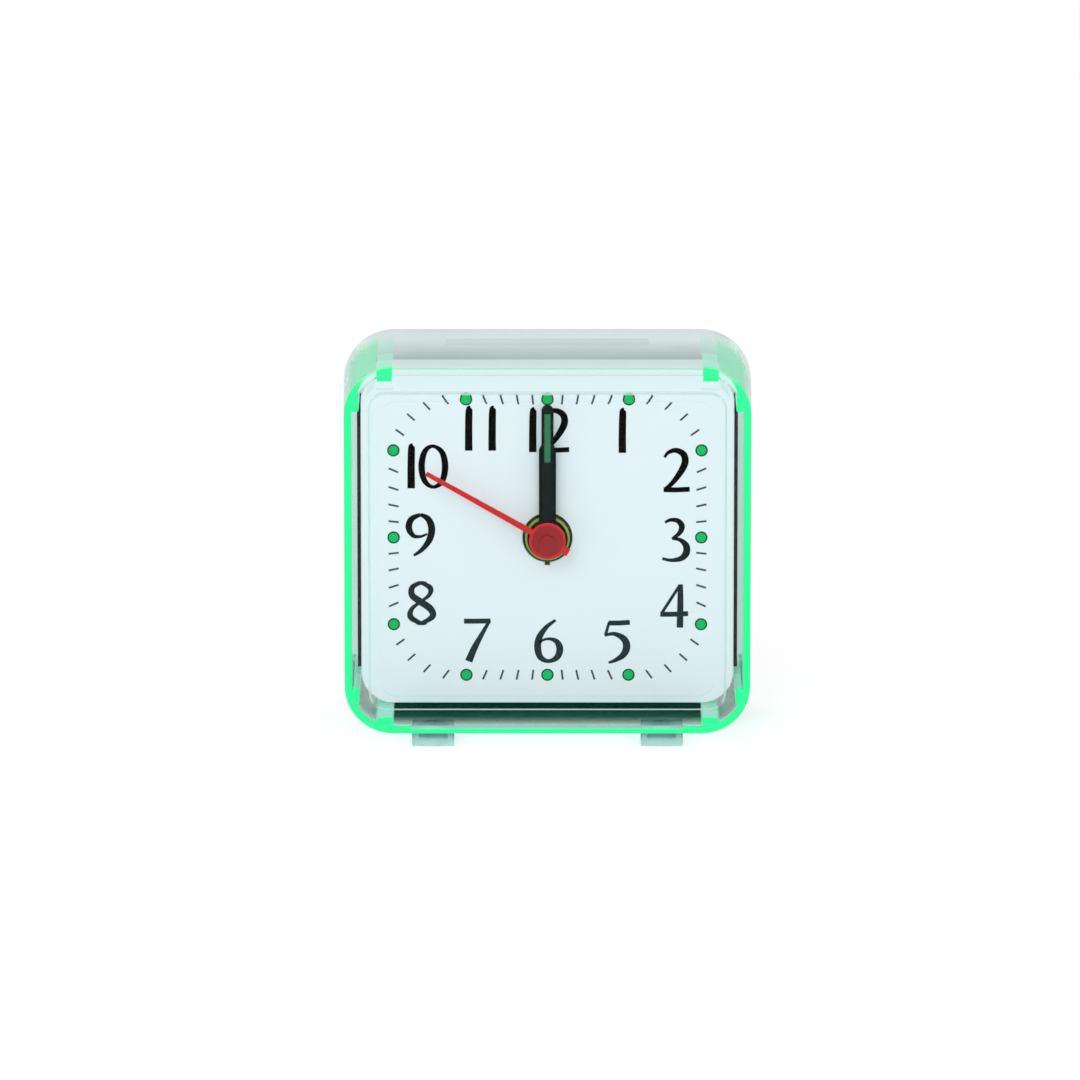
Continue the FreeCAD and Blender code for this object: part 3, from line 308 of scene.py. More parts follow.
tree.links.new(tint_pair(tree, behind_tray, HAZE_CLEAR, shade_and_lilac), haze.inputs["Base Color"])
top_wall = times(
    tree, rise(tree, height, inner_half_height - 0.1 * mm, inner_half_height + 0.3 * mm),
    HAZE_SHARE)
upper_rim = times(
    tree, at_rim, rise(tree, height, inner_half_height - 6.0 * mm, inner_half_height - 3.0 * mm),
    RIM_HAZE_SHARE)
surface = layer(tree, largest(tree, top_wall, upper_rim), surface, haze.outputs["BSDF"])

# Painted glow: green light gathers in the rounded corners of the top, painted as a finish that
# gives off light
beside_rail = RAIL_X + RAIL_HALF
corner = times(tree, rise(tree, out_x, beside_rail - 0.1 * mm, beside_rail + 0.1 * mm),
               rise(tree, out_x, inner_half_width + 0.3 * mm, inner_half_width - 0.3 * mm),
               rise(tree, height, inner_half_height - 5.5 * mm, inner_half_height - 3.0 * mm),
               rise(tree, depth, RIM_DEPTH, RIM_DEPTH + 1.0 * mm),
               rise(tree, depth, CORNER_FADE_END, CORNER_FADE_START), CORNER_SHARE)
corner_painted_glow = two_tone(tree, CORNER_GLOW, CORNER_GLOW_SHADE, scale=120.0, glow=CORNER_STRENGTH)
surface = layer(tree, corner, surface, corner_painted_glow.outputs["BSDF"])

# The lower walls carry painted shade, the shade of the movement, most of all behind the rim, but
# not the rails, which stand in from the walls
inside = rise(tree, within, -0.02 * mm, -0.12 * mm)
rail_bottom = inner_half_height - RAIL_HEIGHT
on_rail = times(tree, inside, largest(tree, rise(tree, out_x, beside_rail + 0.3 * mm, beside_rail),
                                      rise(tree, out_z, rail_bottom, rail_bottom - 0.2 * mm)))
shade = largest(
    tree, times(tree, rise(tree, faces_up, *LEVEL_FACES),
                rise(tree, depth, -0.5 * mm, FLOOR_SHADE_DEPTH)),
    times(tree, rise(tree, depth, -0.5 * mm, WALL_SHADE_DEPTH), WALL_SHADE_SHARE))
corner_light = times(
    tree, rise(tree, out_x, LOWER_CORNER_START, LOWER_CORNER_FULL), LOWER_CORNER_LIGHT)
lower_wall_shade = times(tree, rise(tree, faces_up, *UPWARD_FACES), shade,
                   rise(tree, within, 0.8 * mm, 0.3 * mm),
                   rise(tree, height, LOWER_WALL_TOP, LOWER_WALL_FULL),
                   minus(tree, 1.0, on_rail), minus(tree, 1.0, corner_light))
painted_wall_shade = two_tone(tree, CASE_PAINTED_SHADE, CASE_PAINTED_SHADE_TONE, scale=200.0, shine=0.0)
surface = layer(tree, lower_wall_shade, surface, painted_wall_shade.outputs["BSDF"])

# The rails are pale green with a painted glow, more so at the front, and show through the wall that
# they stand on
near = rise(tree, depth, 1.1 * RAIL_PALE_END, RAIL_PALE_END)
pale_glow = two_tone(tree, RAIL_GLOW, RAIL_GLOW_SHADE, scale=90.0, glow=RAIL_STRENGTH)
pale_glow_share = times(tree, on_rail, plus(tree, times(tree, near, RAIL_SHARE_FRONT), RAIL_SHARE))
surface = layer(tree, pale_glow_share, surface, pale_glow.outputs["BSDF"])
over_rail = times(
    tree, rise(tree, size_of(tree, minus(tree, out_x, RAIL_X)), RAIL_HALF, RAIL_HALF - 0.15 * mm),
    rise(tree, out_z, inner_half_height - 0.2 * mm, inner_half_height))
near_wall = rise(tree, depth, RAIL_PALE_END + 0.6 * mm, RAIL_PALE_END)
before_rear = rise(tree, depth, RAIL_REAR + 0.5 * mm, RAIL_REAR - 0.5 * mm)
seen_share = times(tree, over_rail, plus(
    tree, times(tree, near_wall, SEEN_RAIL_SHARE_FRONT), times(tree, before_rear, SEEN_RAIL_SHARE)))
surface = layer(tree, seen_share, surface, pale_glow.outputs["BSDF"])

# The rim and the rails' ends are bright with painted glow. The rim's band thins to a line along the
# top, and along the bottom it is narrow under a pale one, also painted glow.
low_rim = rise(tree, height, 0.3 * mm - inner_half_height, -0.1 * mm - inner_half_height)
surface = layer(tree, times(tree, at_rim, low_rim, RIM_BOTTOM_GLOW), surface, pale_glow.outputs["BSDF"])
below_top = rise(tree, height, inner_half_height + 0.6 * mm, inner_half_height - 5.5 * mm)
band = minus(
    tree, plus(tree, RIM_TOP_BAND, times(tree, below_top, RIM_SIDE_BAND)),
    times(tree, low_rim, rise(tree, out_x, THIN_BAND_END, THIN_BAND_FULL), RIM_BOTTOM_THINNING))
in_band = rise(tree, minus(tree, inward, band), 0.08 * mm, -0.02 * mm)
full = rise(tree, height, inner_half_height + 0.8 * mm, inner_half_height - 1.5 * mm)
rim_share = times(
    tree, at_rim, in_band, plus(tree, RIM_TOP_SHARE, times(tree, full, 1.0 - RIM_TOP_SHARE)))
rail_front = times(
    tree, largest(tree, on_rail, over_rail), rise(tree, depth, 1.5 * RAIL_END, RAIL_END))
bright = two_tone(tree, CASE_GLOW, CASE_GLOW_SHADE, scale=90.0, glow=GLOW_STRENGTH)
surface = layer(tree, largest(tree, rim_share, rail_front), surface, bright.outputs["BSDF"])

let_light_in(tree, surface, CASE_TINT)
body = tree.nodes.new("ShaderNodeVolumeAbsorption")
body.inputs["Color"].default_value = CASE_ABSORB
body.inputs["Density"].default_value = CASE_DENSITY
tree.links.new(body.outputs["Volume"], tree.nodes["Material Output"].inputs["Volume"])
dress("case_shell", case_plastic)


# Feet
# Four small pads of soft clear plastic with a hollow underside, pushed into the case floor by a
# spigot. They pick up a little green from the case above them, and darken towards their tops, where
# painted shade stands in for the shade of the case floor.

FOOT_TINT = (0.80, 0.95, 0.93, 1.0)
FOOT_IOR = 1.3
FOOT_MILK = (0.50, 0.80, 0.74, 1.0)
# Painted shade towards the feet's tops
FOOT_MILK_PAINTED_SHADE = (0.24, 0.48, 0.46, 1.0)
FOOT_TOP_PAINTED_SHADE = (0.02, 0.14, 0.12, 1.0)
FOOT_MILK_SHARE = 0.45
FOOT_CLOUD = 1.2
FOOT_BODY = 1.5 * mm
FOOT_TOP_SHADE = 1.1 * mm
FOOT_TOP_SHADE_FULL = 1.6 * mm

foot_plastic, tree, surface = clear_plastic("foot_plastic", FOOT_TINT, FOOT_IOR, rough=(0.12, 0.25))
up = axes_of(tree, "ShaderNodeTexCoord", "Object")[2]
foot_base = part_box("case_feet")[0].z
# Painted shade: the feet grow darker towards their tops, under the case floor, broken by a random
# cloud
cloud = times(tree, minus(tree, object_noise(tree, scale=700.0, detail=3.0), 0.5), FOOT_CLOUD)
upper_shade = plus(tree, rise(tree, up, foot_base, foot_base + FOOT_BODY), cloud)
milk_colour = tint_pair(tree, upper_shade, FOOT_MILK, FOOT_MILK_PAINTED_SHADE)
top_shade = rise(tree, up, foot_base + FOOT_TOP_SHADE, foot_base + FOOT_TOP_SHADE_FULL)
milk = tree.nodes.new("ShaderNodeBsdfPrincipled")
tree.links.new(tint_pair(tree, top_shade, milk_colour, FOOT_TOP_PAINTED_SHADE), milk.inputs["Base Color"])
surface = layer(tree, FOOT_MILK_SHARE, surface, milk.outputs["BSDF"])
let_light_in(tree, surface, FOOT_TINT)
dress("case_feet", foot_plastic)


# Front lens
# Polished clear moulding with a raised window, pushed into the front of the case between the rails
# and held by a trace of solvent. Only the slope round the window shows, as a faint line: a painted
# highlight laid on its slopes and walls.

LENS_TINT = (0.985, 1.0, 0.997, 1.0)
LENS_IOR = 1.06
LENS_WALL = (0.97, 0.995, 0.99, 1.0)
# Painted highlight along the raised window's edges
LENS_EDGE_HIGHLIGHT = (0.62, 0.80, 0.76, 1.0)
LENS_EDGE_HIGHLIGHT_TONE = (0.54, 0.74, 0.69, 1.0)
WINDOW_MARGIN = 3.4 * mm
TURNED_AWAY = (0.98, 0.93)
SLOPE_FACES = (0.97, 0.85)
WALL_FACES = (0.4, 0.2)
WALL_HIGHLIGHT = 0.2
SLOPE_HIGHLIGHT = 0.75
INNER_HIGHLIGHT = 0.2

lens_plastic, tree, surface = clear_plastic("lens_plastic", LENS_TINT, LENS_IOR, rough=(0.0, 0.02))
across, _, up = axes_of(tree, "ShaderNodeTexCoord", "Object")
to_front = size_of(tree, axes_of(tree, "ShaderNodeNewGeometry", "True Normal")[1])

# What isn't flat to the front bends no light, so the print behind it isn't seen twice
wall = tree.nodes.new("ShaderNodeBsdfTransparent")
wall.inputs["Color"].default_value = LENS_WALL
surface = layer(tree, rise(tree, to_front, *TURNED_AWAY), surface, wall.outputs["BSDF"])

out_x = size_of(tree, across)
out_z = size_of(tree, minus(tree, up, rim_middle.z))
past_window = largest(tree, minus(tree, out_x, inner_half_width + WALL - WINDOW_MARGIN),
                      minus(tree, out_z, inner_half_height + WALL - WINDOW_MARGIN))
outline = rise(tree, past_window, -0.7 * mm, -0.5 * mm)
window = times(tree, rise(tree, past_window, 0.3 * mm, 0.1 * mm),
               plus(tree, times(tree, outline, 1.0 - INNER_HIGHLIGHT), INNER_HIGHLIGHT))
on_wall = rise(tree, to_front, *WALL_FACES)
walls = times(tree, on_wall, WALL_HIGHLIGHT)
slopes = times(
    tree, rise(tree, to_front, *SLOPE_FACES), minus(tree, 1.0, on_wall), SLOPE_HIGHLIGHT)
# Painted highlight: a pale finish laid on the window's walls and slopes, seen as its faint outline
edge_highlight = two_tone(tree, LENS_EDGE_HIGHLIGHT, LENS_EDGE_HIGHLIGHT_TONE, scale=150.0)
edge_highlight_share = times(tree, window, largest(tree, walls, slopes))
surface = layer(tree, edge_highlight_share, surface, edge_highlight.outputs["BSDF"])
let_light_in(tree, surface, LENS_TINT)
dress("front_lens", lens_plastic)


# Dial
# Thin sheet of white plastic with a satin face, cut to the tray's outline, printed in black and
# green, and glued to the tray's front.

DIAL_WHITE = (0.78, 0.85, 0.89, 1.0)
DIAL_SHADE = (0.755, 0.83, 0.875, 1.0)


def fine_bump(tree, shader, scale, strength):
    """Slight unevenness of a moulded, rolled or printed surface."""
    bump = tree.nodes.new("ShaderNodeBump")
    bump.inputs["Strength"].default_value = strength
    bump.inputs["Distance"].default_value = 0.02 * mm
    tree.links.new(object_noise(tree, scale, detail=6.0), bump.inputs["Height"])
    tree.links.new(bump.outputs["Normal"], shader.inputs["Normal"])


def satin(name, first, second, rough, scale=60.0, grain=2500.0, bump=0.15, shine=0.3):
    """Moulded or painted surface with two close tones, uneven gloss and a fine grain."""
    material, tree, shader = new_material(name)
    shader.inputs["Specular IOR Level"].default_value = shine
    cloud = object_noise(tree, scale)
    tree.links.new(tint_pair(tree, cloud, first, second), shader.inputs["Base Color"])
    tree.links.new(spread(tree, cloud, *rough), shader.inputs["Roughness"])
    fine_bump(tree, shader, grain, bump)
    return material


dress("dial_plate", satin("dial_face", DIAL_WHITE, DIAL_SHADE, rough=(0.5, 0.62)))


# Print on the dial
# Black numerals, ticks and green dots with a dark rim, each a thin layer of ink printed on the
# dial's face. The numerals are drawn as pen strokes that swell and thin.

INK_RISE = 0.03 * mm
INK_SLAB = 0.9 * INK_RISE
DOT_RIM_RISE = 0.6 * INK_RISE
DOT_RISE = 1.2 * INK_RISE
STROKE_LIFT = 0.02
PEN_WEIGHT = 1.13
# Painted shade for the upper numerals
INK_PAINTED_SHADE = (0.003, 0.0035, 0.003, 1.0)
INK_BLACK = (0.017, 0.029, 0.030, 1.0)
INK_SLATE = (0.028, 0.043, 0.045, 1.0)
INK_TOP_HEIGHT = 8.0 * mm
INK_LOW_HEIGHT = -12.0 * mm
TICK_INK = (0.05, 0.06, 0.065, 1.0)
TICK_INK_SHADE = (0.09, 0.1, 0.11, 1.0)
DOT_GREEN = (0.010, 0.44, 0.10, 1.0)
DOT_PALE = (0.02, 0.52, 0.16, 1.0)
DOT_RIM = (0.008, 0.07, 0.025, 1.0)
NUMERAL_HEIGHT = 6.25 * mm
TRACK_HALF_WIDTH = 21.7 * mm
TRACK_HALF_HEIGHT = 19.85 * mm
TRACK_CORNER = 8.6 * mm
TICK_LENGTH = 1.45 * mm
TICK_WIDTH = 0.26 * mm
DOT_RADIUS = 0.78 * mm
DOT_RIM_WIDTH = 0.2 * mm
STROKE_STEPS = 7

dial_low, dial_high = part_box("dial_plate")
dial_x = (dial_low.x + dial_high.x) / 2
dial_z = (dial_low.z + dial_high.z) / 2
dial_face = dial_low.y

# Pen strokes of each numeral: x, height and pen width, all in shares of the numeral's height
STROKE_SHARES = {
    "0": [[(0.32, 0.97, 0.07), (0.14, 0.84, 0.11), (0.07, 0.5, 0.13), (0.14, 0.17, 0.11),
           (0.33, 0.03, 0.07), (0.53, 0.16, 0.11), (0.60, 0.5, 0.13), (0.53, 0.83, 0.11),
           (0.32, 0.97, 0.07)]],
    "2": [[(0.05, 0.79, 0.05), (0.13, 0.90, 0.07), (0.30, 0.955, 0.10), (0.47, 0.87, 0.13),
           (0.515, 0.70, 0.14), (0.44, 0.50, 0.13), (0.26, 0.24, 0.10), (0.07, 0.05, 0.08)],
          [(0.03, 0.05, 0.10), (0.3, 0.045, 0.10), (0.62, 0.06, 0.10)]],
    "3": [[(0.08, 0.89, 0.05), (0.2, 0.95, 0.07), (0.37, 0.93, 0.10), (0.46, 0.80, 0.12),
           (0.40, 0.64, 0.09), (0.24, 0.52, 0.05)],
          [(0.24, 0.52, 0.05), (0.42, 0.49, 0.08), (0.555, 0.36, 0.13), (0.56, 0.19, 0.14),
           (0.44, 0.06, 0.11), (0.22, 0.02, 0.07), (0.02, 0.06, 0.055)]],
    "4": [[(0.46, 0.98, 0.06), (0.27, 0.68, 0.06), (0.05, 0.33, 0.06)],
          [(0.02, 0.31, 0.10), (0.3, 0.31, 0.10), (0.65, 0.325, 0.10)],
          [(0.475, 1.0, 0.10), (0.475, 0.6, 0.12), (0.465, 0.0, 0.13)]],
    "5": [[(0.12, 0.94, 0.10), (0.35, 0.94, 0.10), (0.60, 0.955, 0.10)],
          [(0.135, 0.96, 0.055), (0.09, 0.8, 0.06), (0.05, 0.66, 0.06)],
          [(0.03, 0.65, 0.05), (0.24, 0.69, 0.08), (0.46, 0.58, 0.13), (0.53, 0.40, 0.15),
           (0.46, 0.21, 0.13), (0.28, 0.08, 0.08), (0.12, 0.02, 0.045)]],
    "6": [[(0.48, 0.985, 0.05), (0.27, 0.82, 0.09), (0.11, 0.58, 0.13), (0.075, 0.34, 0.14),
           (0.14, 0.12, 0.12), (0.32, 0.035, 0.08), (0.51, 0.12, 0.12), (0.575, 0.31, 0.14),
           (0.51, 0.48, 0.11), (0.35, 0.55, 0.06), (0.19, 0.52, 0.05), (0.11, 0.44, 0.045)]],
    "7": [[(0.01, 0.95, 0.10), (0.3, 0.95, 0.10), (0.61, 0.955, 0.10)],
          [(0.59, 0.96, 0.06), (0.42, 0.66, 0.09), (0.24, 0.32, 0.13), (0.115, 0.02, 0.15)]],
    "8": [[(0.44, 0.945, 0.085), (0.32, 0.965, 0.07), (0.13, 0.87, 0.11), (0.12, 0.68, 0.13),
           (0.31, 0.53, 0.14), (0.53, 0.37, 0.14), (0.58, 0.19, 0.12), (0.33, 0.035, 0.075),
           (0.22, 0.06, 0.09)],
          [(0.44, 0.06, 0.09), (0.33, 0.035, 0.075), (0.09, 0.17, 0.12), (0.11, 0.36, 0.09),
           (0.31, 0.53, 0.06), (0.50, 0.68, 0.08), (0.53, 0.85, 0.11), (0.32, 0.965, 0.07),
           (0.22, 0.935, 0.09)]],
    "9": [[(0.33, 0.965, 0.07), (0.13, 0.86, 0.12), (0.07, 0.66, 0.13), (0.17, 0.48, 0.09),
           (0.34, 0.46, 0.055), (0.48, 0.52, 0.045)],
          [(0.33, 0.965, 0.07), (0.50, 0.87, 0.12), (0.585, 0.66, 0.14), (0.54, 0.40, 0.13),
           (0.38, 0.17, 0.09), (0.18, 0.02, 0.05)]],
    "1": [[(0.075, 0.0, 0.15), (0.075, 0.5, 0.145), (0.085, 0.93, 0.135), (0.10, 0.985, 0.07)]],
}

# Numeral, and the middle of its place on the dial, in metres right of and above the dial's middle
NUMERAL_PLACES = [
    ("1", 10.55 * mm, 15.3 * mm), ("2", 18.27 * mm, 9.7 * mm), ("3", 18.05 * mm, -0.29 * mm),
    ("4", 18.0 * mm, -9.9 * mm), ("5", 9.92 * mm, -15.1 * mm), ("6", 0.17 * mm, -14.96 * mm),
    ("7", -9.79 * mm, -14.9 * mm), ("8", -17.86 * mm, -9.47 * mm), ("9", -17.94 * mm, 0.39 * mm),
    ("10", -16.84 * mm, 10.2 * mm), ("11", -9.43 * mm, 15.61 * mm), ("12", 0.42 * mm, 15.4 * mm),
]
PAIR_GAPS = {"10": 0.55 * mm, "11": 2.35 * mm, "12": 0.78 * mm}


def smooth_stroke(points):
    """Smooth curve through the pen points, with the pen's width along it."""
    path = []
    closed = points[0][:2] == points[-1][:2]
    last = len(points) - 1
    for index in range(last):
        before = points[index - 1] if index else (points[-2] if closed else points[0])
        after = points[index + 2] if index + 2 <= last else (points[1] if closed else points[last])
        start, end = points[index], points[index + 1]
        for step in range(STROKE_STEPS):
            t = step / STROKE_STEPS
            path.append(tuple(
                0.5 * (2 * b + (c - a) * t + (2 * a - 5 * b + 4 * c - d) * t * t
                       + (3 * b - a - 3 * c + d) * t * t * t)
                for a, b, c, d in zip(before, start, end, after)
            ))
    path.append(points[-1])
    return path, closed


def add_ribbon(mesh, points, left, bottom, lift):
    """One pen stroke of a numeral as a flat ribbon of ink over the dial."""
    path, closed = smooth_stroke(points)
    rows = []
    for index, (x, z, width) in enumerate(path):
        behind = path[index - 1] if index else (path[-2] if closed else path[0])
        ahead = path[index + 1] if index + 1 < len(path) else (path[1] if closed else path[-1])
        run = Vector((ahead[0] - behind[0], ahead[1] - behind[1]))
        side = Vector((-run.y, run.x)).normalized() * width * PEN_WEIGHT / 2
        rows.append([
            mesh.verts.new((left + (x + sign * side.x) * NUMERAL_HEIGHT, dial_face - lift,
                            bottom + (z + sign * side.y) * NUMERAL_HEIGHT))
            for sign in (1, -1)
        ])
    for first, second in zip(rows, rows[1:]):
        mesh.faces.new((first[0], first[1], second[1], second[0]))


def numeral_width(glyph):
    """Width of one numeral in metres."""
    return NUMERAL_HEIGHT * max(
        x + width / 2 for stroke in STROKE_SHARES[glyph] for x, _, width in stroke)


def bmesh_piece(name, mesh, material):
    """Turns a finished bmesh into a piece with its faces outwards."""
    bmesh.ops.recalc_face_normals(mesh, faces=mesh.faces)
    data = bpy.data.meshes.new(name)
    mesh.to_mesh(data)
    mesh.free()
    piece = bpy.data.objects.new(name, data)
    bpy.context.collection.objects.link(piece)
    data.materials.append(material)
    return piece


def give_depth(mesh):
    """Makes flat ink a thin slab that reaches down to the dial."""
    made = bmesh.ops.extrude_face_region(mesh, geom=list(mesh.faces))
    moved = [item for item in made["geom"] if isinstance(item, bmesh.types.BMVert)]
    bmesh.ops.translate(mesh, verts=moved, vec=(0, INK_SLAB, 0))


def ink(name, first, second, scale=300.0):
    """Printing ink: two close tones and a slightly uneven satin."""
    return satin(name, first, second, rough=(0.45, 0.6), scale=scale, grain=4000.0, bump=0.1,
                 shine=0.03)


def retint(material, share, colour):
    """Lays another colour over a finish where the share is high."""
    tree = material.node_tree
    base = tree.nodes["Principled BSDF"].inputs["Base Color"]
    tree.links.new(tint_pair(tree, share, base.links[0].from_socket, colour), base)


numerals = bmesh.new()
for text, middle_x, middle_z in NUMERAL_PLACES:
    widths = [numeral_width(glyph) for glyph in text]
    gap = PAIR_GAPS.get(text, 0)
    left = dial_x + middle_x - (sum(widths) + gap) / 2
    bottom = dial_z + middle_z - NUMERAL_HEIGHT / 2
    for glyph, width in zip(text, widths):
        for level, stroke in enumerate(STROKE_SHARES[glyph]):
            add_ribbon(numerals, stroke, left, bottom, INK_RISE * (1 + STROKE_LIFT * level))
        left += width + gap
give_depth(numerals)
numeral_ink = ink("numeral_ink", INK_BLACK, INK_SLATE)
tree = numeral_ink.node_tree
# Painted shade: the numerals darken towards the top, where less light falls on the dial
up = axes_of(tree, "ShaderNodeTexCoord", "Object")[2]
retint(numeral_ink, rise(tree, up, dial_z + INK_LOW_HEIGHT, dial_z + INK_TOP_HEIGHT), INK_PAINTED_SHADE)
dial_numerals = bmesh_piece("dial_numerals", numerals, numeral_ink)
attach(dial_numerals, "case")


def hour_way(hours):
    """Direction of an hour from the dial's middle: right, and up."""
    angle = math.radians(30 * hours)
    return Vector((math.sin(angle), math.cos(angle)))


def square_reach(way):
    """How far a ray from the dial's middle runs to the track's straight sides."""
    nearly_none = 1e-9
    return min(TRACK_HALF_WIDTH / max(abs(way.x), nearly_none),
               TRACK_HALF_HEIGHT / max(abs(way.y), nearly_none))


def rounded_reach(way):
    """The same where the track's corners are rounded."""
    spot = way * square_reach(way)
    corner = Vector((TRACK_HALF_WIDTH - TRACK_CORNER, TRACK_HALF_HEIGHT - TRACK_CORNER))
    if abs(spot.x) <= corner.x or abs(spot.y) <= corner.y:
        return square_reach(way)
    centre = Vector((math.copysign(corner.x, spot.x), math.copysign(corner.y, spot.y)))
    along = way.dot(centre)
    return along + math.sqrt(along * along - centre.length_squared + TRACK_CORNER ** 2)


ticks = bmesh.new()
for minute in range(60):
    if minute % 5 == 0:
        continue
    way = hour_way(minute / 5)
    reach = rounded_reach(way)
    across = Vector((way.y, -way.x)) * TICK_WIDTH / 2
    corners = []
    for along, side in ((-1, -1), (1, -1), (1, 1), (-1, 1)):
        spot = way * (reach + along * TICK_LENGTH / 2) + across * side
        corners.append(ticks.verts.new((dial_x + spot.x, dial_face - INK_RISE, dial_z + spot.y)))
    ticks.faces.new(corners)
give_depth(ticks)
dial_ticks = bmesh_piece("dial_ticks", ticks, ink("tick_ink", TICK_INK, TICK_INK_SHADE))
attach(dial_ticks, "case")


def dot_layer(name, radius, lift, material):
    """Twelve round dots, one modelled and the rest copied to the hour places."""
    bpy.ops.object.select_all(action="DESELECT")
    bpy.ops.mesh.primitive_circle_add(
        vertices=40, radius=radius, fill_type="NGON", rotation=(math.pi / 2, 0, 0)
    )
    first = bpy.context.object
    bpy.ops.object.transform_apply(location=True, rotation=True, scale=True)
    bpy.ops.object.mode_set(mode="EDIT")
    bpy.ops.mesh.select_all(action="SELECT")
    bpy.ops.mesh.extrude_region_move(TRANSFORM_OT_translate={"value": (0, -lift, 0)})
    bpy.ops.mesh.select_all(action="SELECT")
    bpy.ops.mesh.normals_make_consistent(inside=False)
    bpy.ops.object.mode_set(mode="OBJECT")
    joined = bmesh.new()
    for hour in range(12):
        spot = hour_way(hour) * square_reach(hour_way(hour))
        copy = first.data.copy()
        copy.transform(Matrix.Translation((dial_x + spot.x, dial_face, dial_z + spot.y)))
        joined.from_mesh(copy)
        bpy.data.meshes.remove(copy)
    bpy.data.objects.remove(first)
    piece = bmesh_piece(name, joined, material)
    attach(piece, "case")
    return piece


rims = dot_layer("dial_dot_rims", DOT_RADIUS + DOT_RIM_WIDTH / 2, DOT_RIM_RISE,
                 ink("dot_rim_ink", DOT_RIM, DOT_RIM))
dots = dot_layer("dial_dots", DOT_RADIUS - DOT_RIM_WIDTH / 2, DOT_RISE,
                 ink("dot_ink", DOT_GREEN, DOT_PALE, scale=500.0))


# Dial tray and centre bush
# White moulded tray that carries the dial, and a black moulded bush, pressed into the middle of
# both, that the hands' pipes come through.

PLASTIC_WHITE = (0.80, 0.83, 0.83, 1.0)
PLASTIC_SHADE = (0.76, 0.79, 0.80, 1.0)
PLASTIC_BLACK = (0.012, 0.014, 0.014, 1.0)
PLASTIC_BLACK_SHADE = (0.02, 0.023, 0.023, 1.0)

white_plastic = satin("white_moulding", PLASTIC_WHITE, PLASTIC_SHADE, rough=(0.34, 0.46))
black_plastic = satin("black_moulding", PLASTIC_BLACK, PLASTIC_BLACK_SHADE, rough=(0.38, 0.52))
dress("dial_tray", white_plastic)
dress("centre_bush", black_plastic)


# Hands
# Stamped and painted hands pressed on nested pipes: a lime alarm hand, black hour and minute hands,
# the minute hand with a green glow strip, and a moulded translucent red second hand.

HAND_LIME = (0.36, 0.50, 0.06, 1.0)
HAND_LIME_SHADE = (0.30, 0.44, 0.05, 1.0)
HAND_BLACK = (0.004, 0.010, 0.009, 1.0)
HAND_BLACK_SHADE = (0.008, 0.016, 0.015, 1.0)
HAND_RED = (0.70, 0.011, 0.015, 1.0)
HAND_RED_DEEP = (0.50, 0.007, 0.010, 1.0)
HAND_RED_HUB = (0.30, 0.008, 0.012, 1.0)
HUB_DARK_RADIUS = 2.25 * mm
STRIP_GREEN = (0.018, 0.18, 0.07, 1.0)
STRIP_GREEN_SHADE = (0.014, 0.14, 0.055, 1.0)
STRIP_WIDTH = 0.85 * mm
STRIP_TOP = 18.1 * mm
STRIP_BOTTOM = 11.2 * mm
STRIP_RISE = 0.05 * mm

dress("alarm_hand",
      satin("lime_paint", HAND_LIME, HAND_LIME_SHADE, rough=(0.35, 0.48), scale=200.0))
hand_paint = satin(
    "hand_paint", HAND_BLACK, HAND_BLACK_SHADE, rough=(0.3, 0.42), scale=200.0, shine=0.08)
dress("hour_hand", hand_paint)
dress("minute_hand", hand_paint)

red_plastic = satin("red_moulding", HAND_RED, HAND_RED_DEEP, rough=(0.22, 0.34), scale=250.0)
tree = red_plastic.node_tree
shader = tree.nodes["Principled BSDF"]
shader.inputs["Subsurface Weight"].default_value = 0.2
shader.inputs["Subsurface Radius"].default_value = (0.6 * mm, 0.1 * mm, 0.1 * mm)
shader.inputs["Subsurface Scale"].default_value = 1.0
across, _, up = axes_of(tree, "ShaderNodeTexCoord", "Object")
above_hub = minus(tree, up, rim_middle.z)
radius = calc(
    tree, "SQRT", plus(tree, times(tree, across, across), times(tree, above_hub, above_hub)))
hub = rise(tree, radius, HUB_DARK_RADIUS + 0.1 * mm, HUB_DARK_RADIUS - 0.1 * mm)
retint(red_plastic, hub, HAND_RED_HUB)
dress("second_hand", red_plastic)

bpy.ops.object.select_all(action="DESELECT")
bpy.ops.mesh.primitive_cube_add(size=1.0)
minute_strip = bpy.context.object
minute_strip.name = "minute_strip"
bpy.ops.object.mode_set(mode="EDIT")
bpy.ops.mesh.select_all(action="SELECT")
bpy.ops.transform.resize(value=(STRIP_WIDTH, STRIP_RISE, STRIP_TOP - STRIP_BOTTOM))
bpy.ops.transform.translate(value=(
    dial_x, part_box("minute_hand")[0].y - STRIP_RISE / 2, dial_z + (STRIP_TOP + STRIP_BOTTOM) / 2
))
bpy.ops.object.mode_set(mode="OBJECT")
bevel = minute_strip.modifiers.new("round_ends", "BEVEL")
bevel.width = STRIP_RISE / 2
bevel.segments = 2
bpy.ops.object.modifier_apply(modifier="round_ends")
minute_strip.data.materials.clear()
minute_strip.data.materials.append(
    satin("glow_strip", STRIP_GREEN, STRIP_GREEN_SHADE, rough=(0.4, 0.55), scale=900.0))
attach(minute_strip, "minutes")


# Movement
# Two black moulded plates, screwed together on pillars, hold wheels moulded in a natural cream
# plastic. The stator, screws, contacts and crystal are bare metal, the board is brown laminate, and
# the cell has a plain blue wrap.

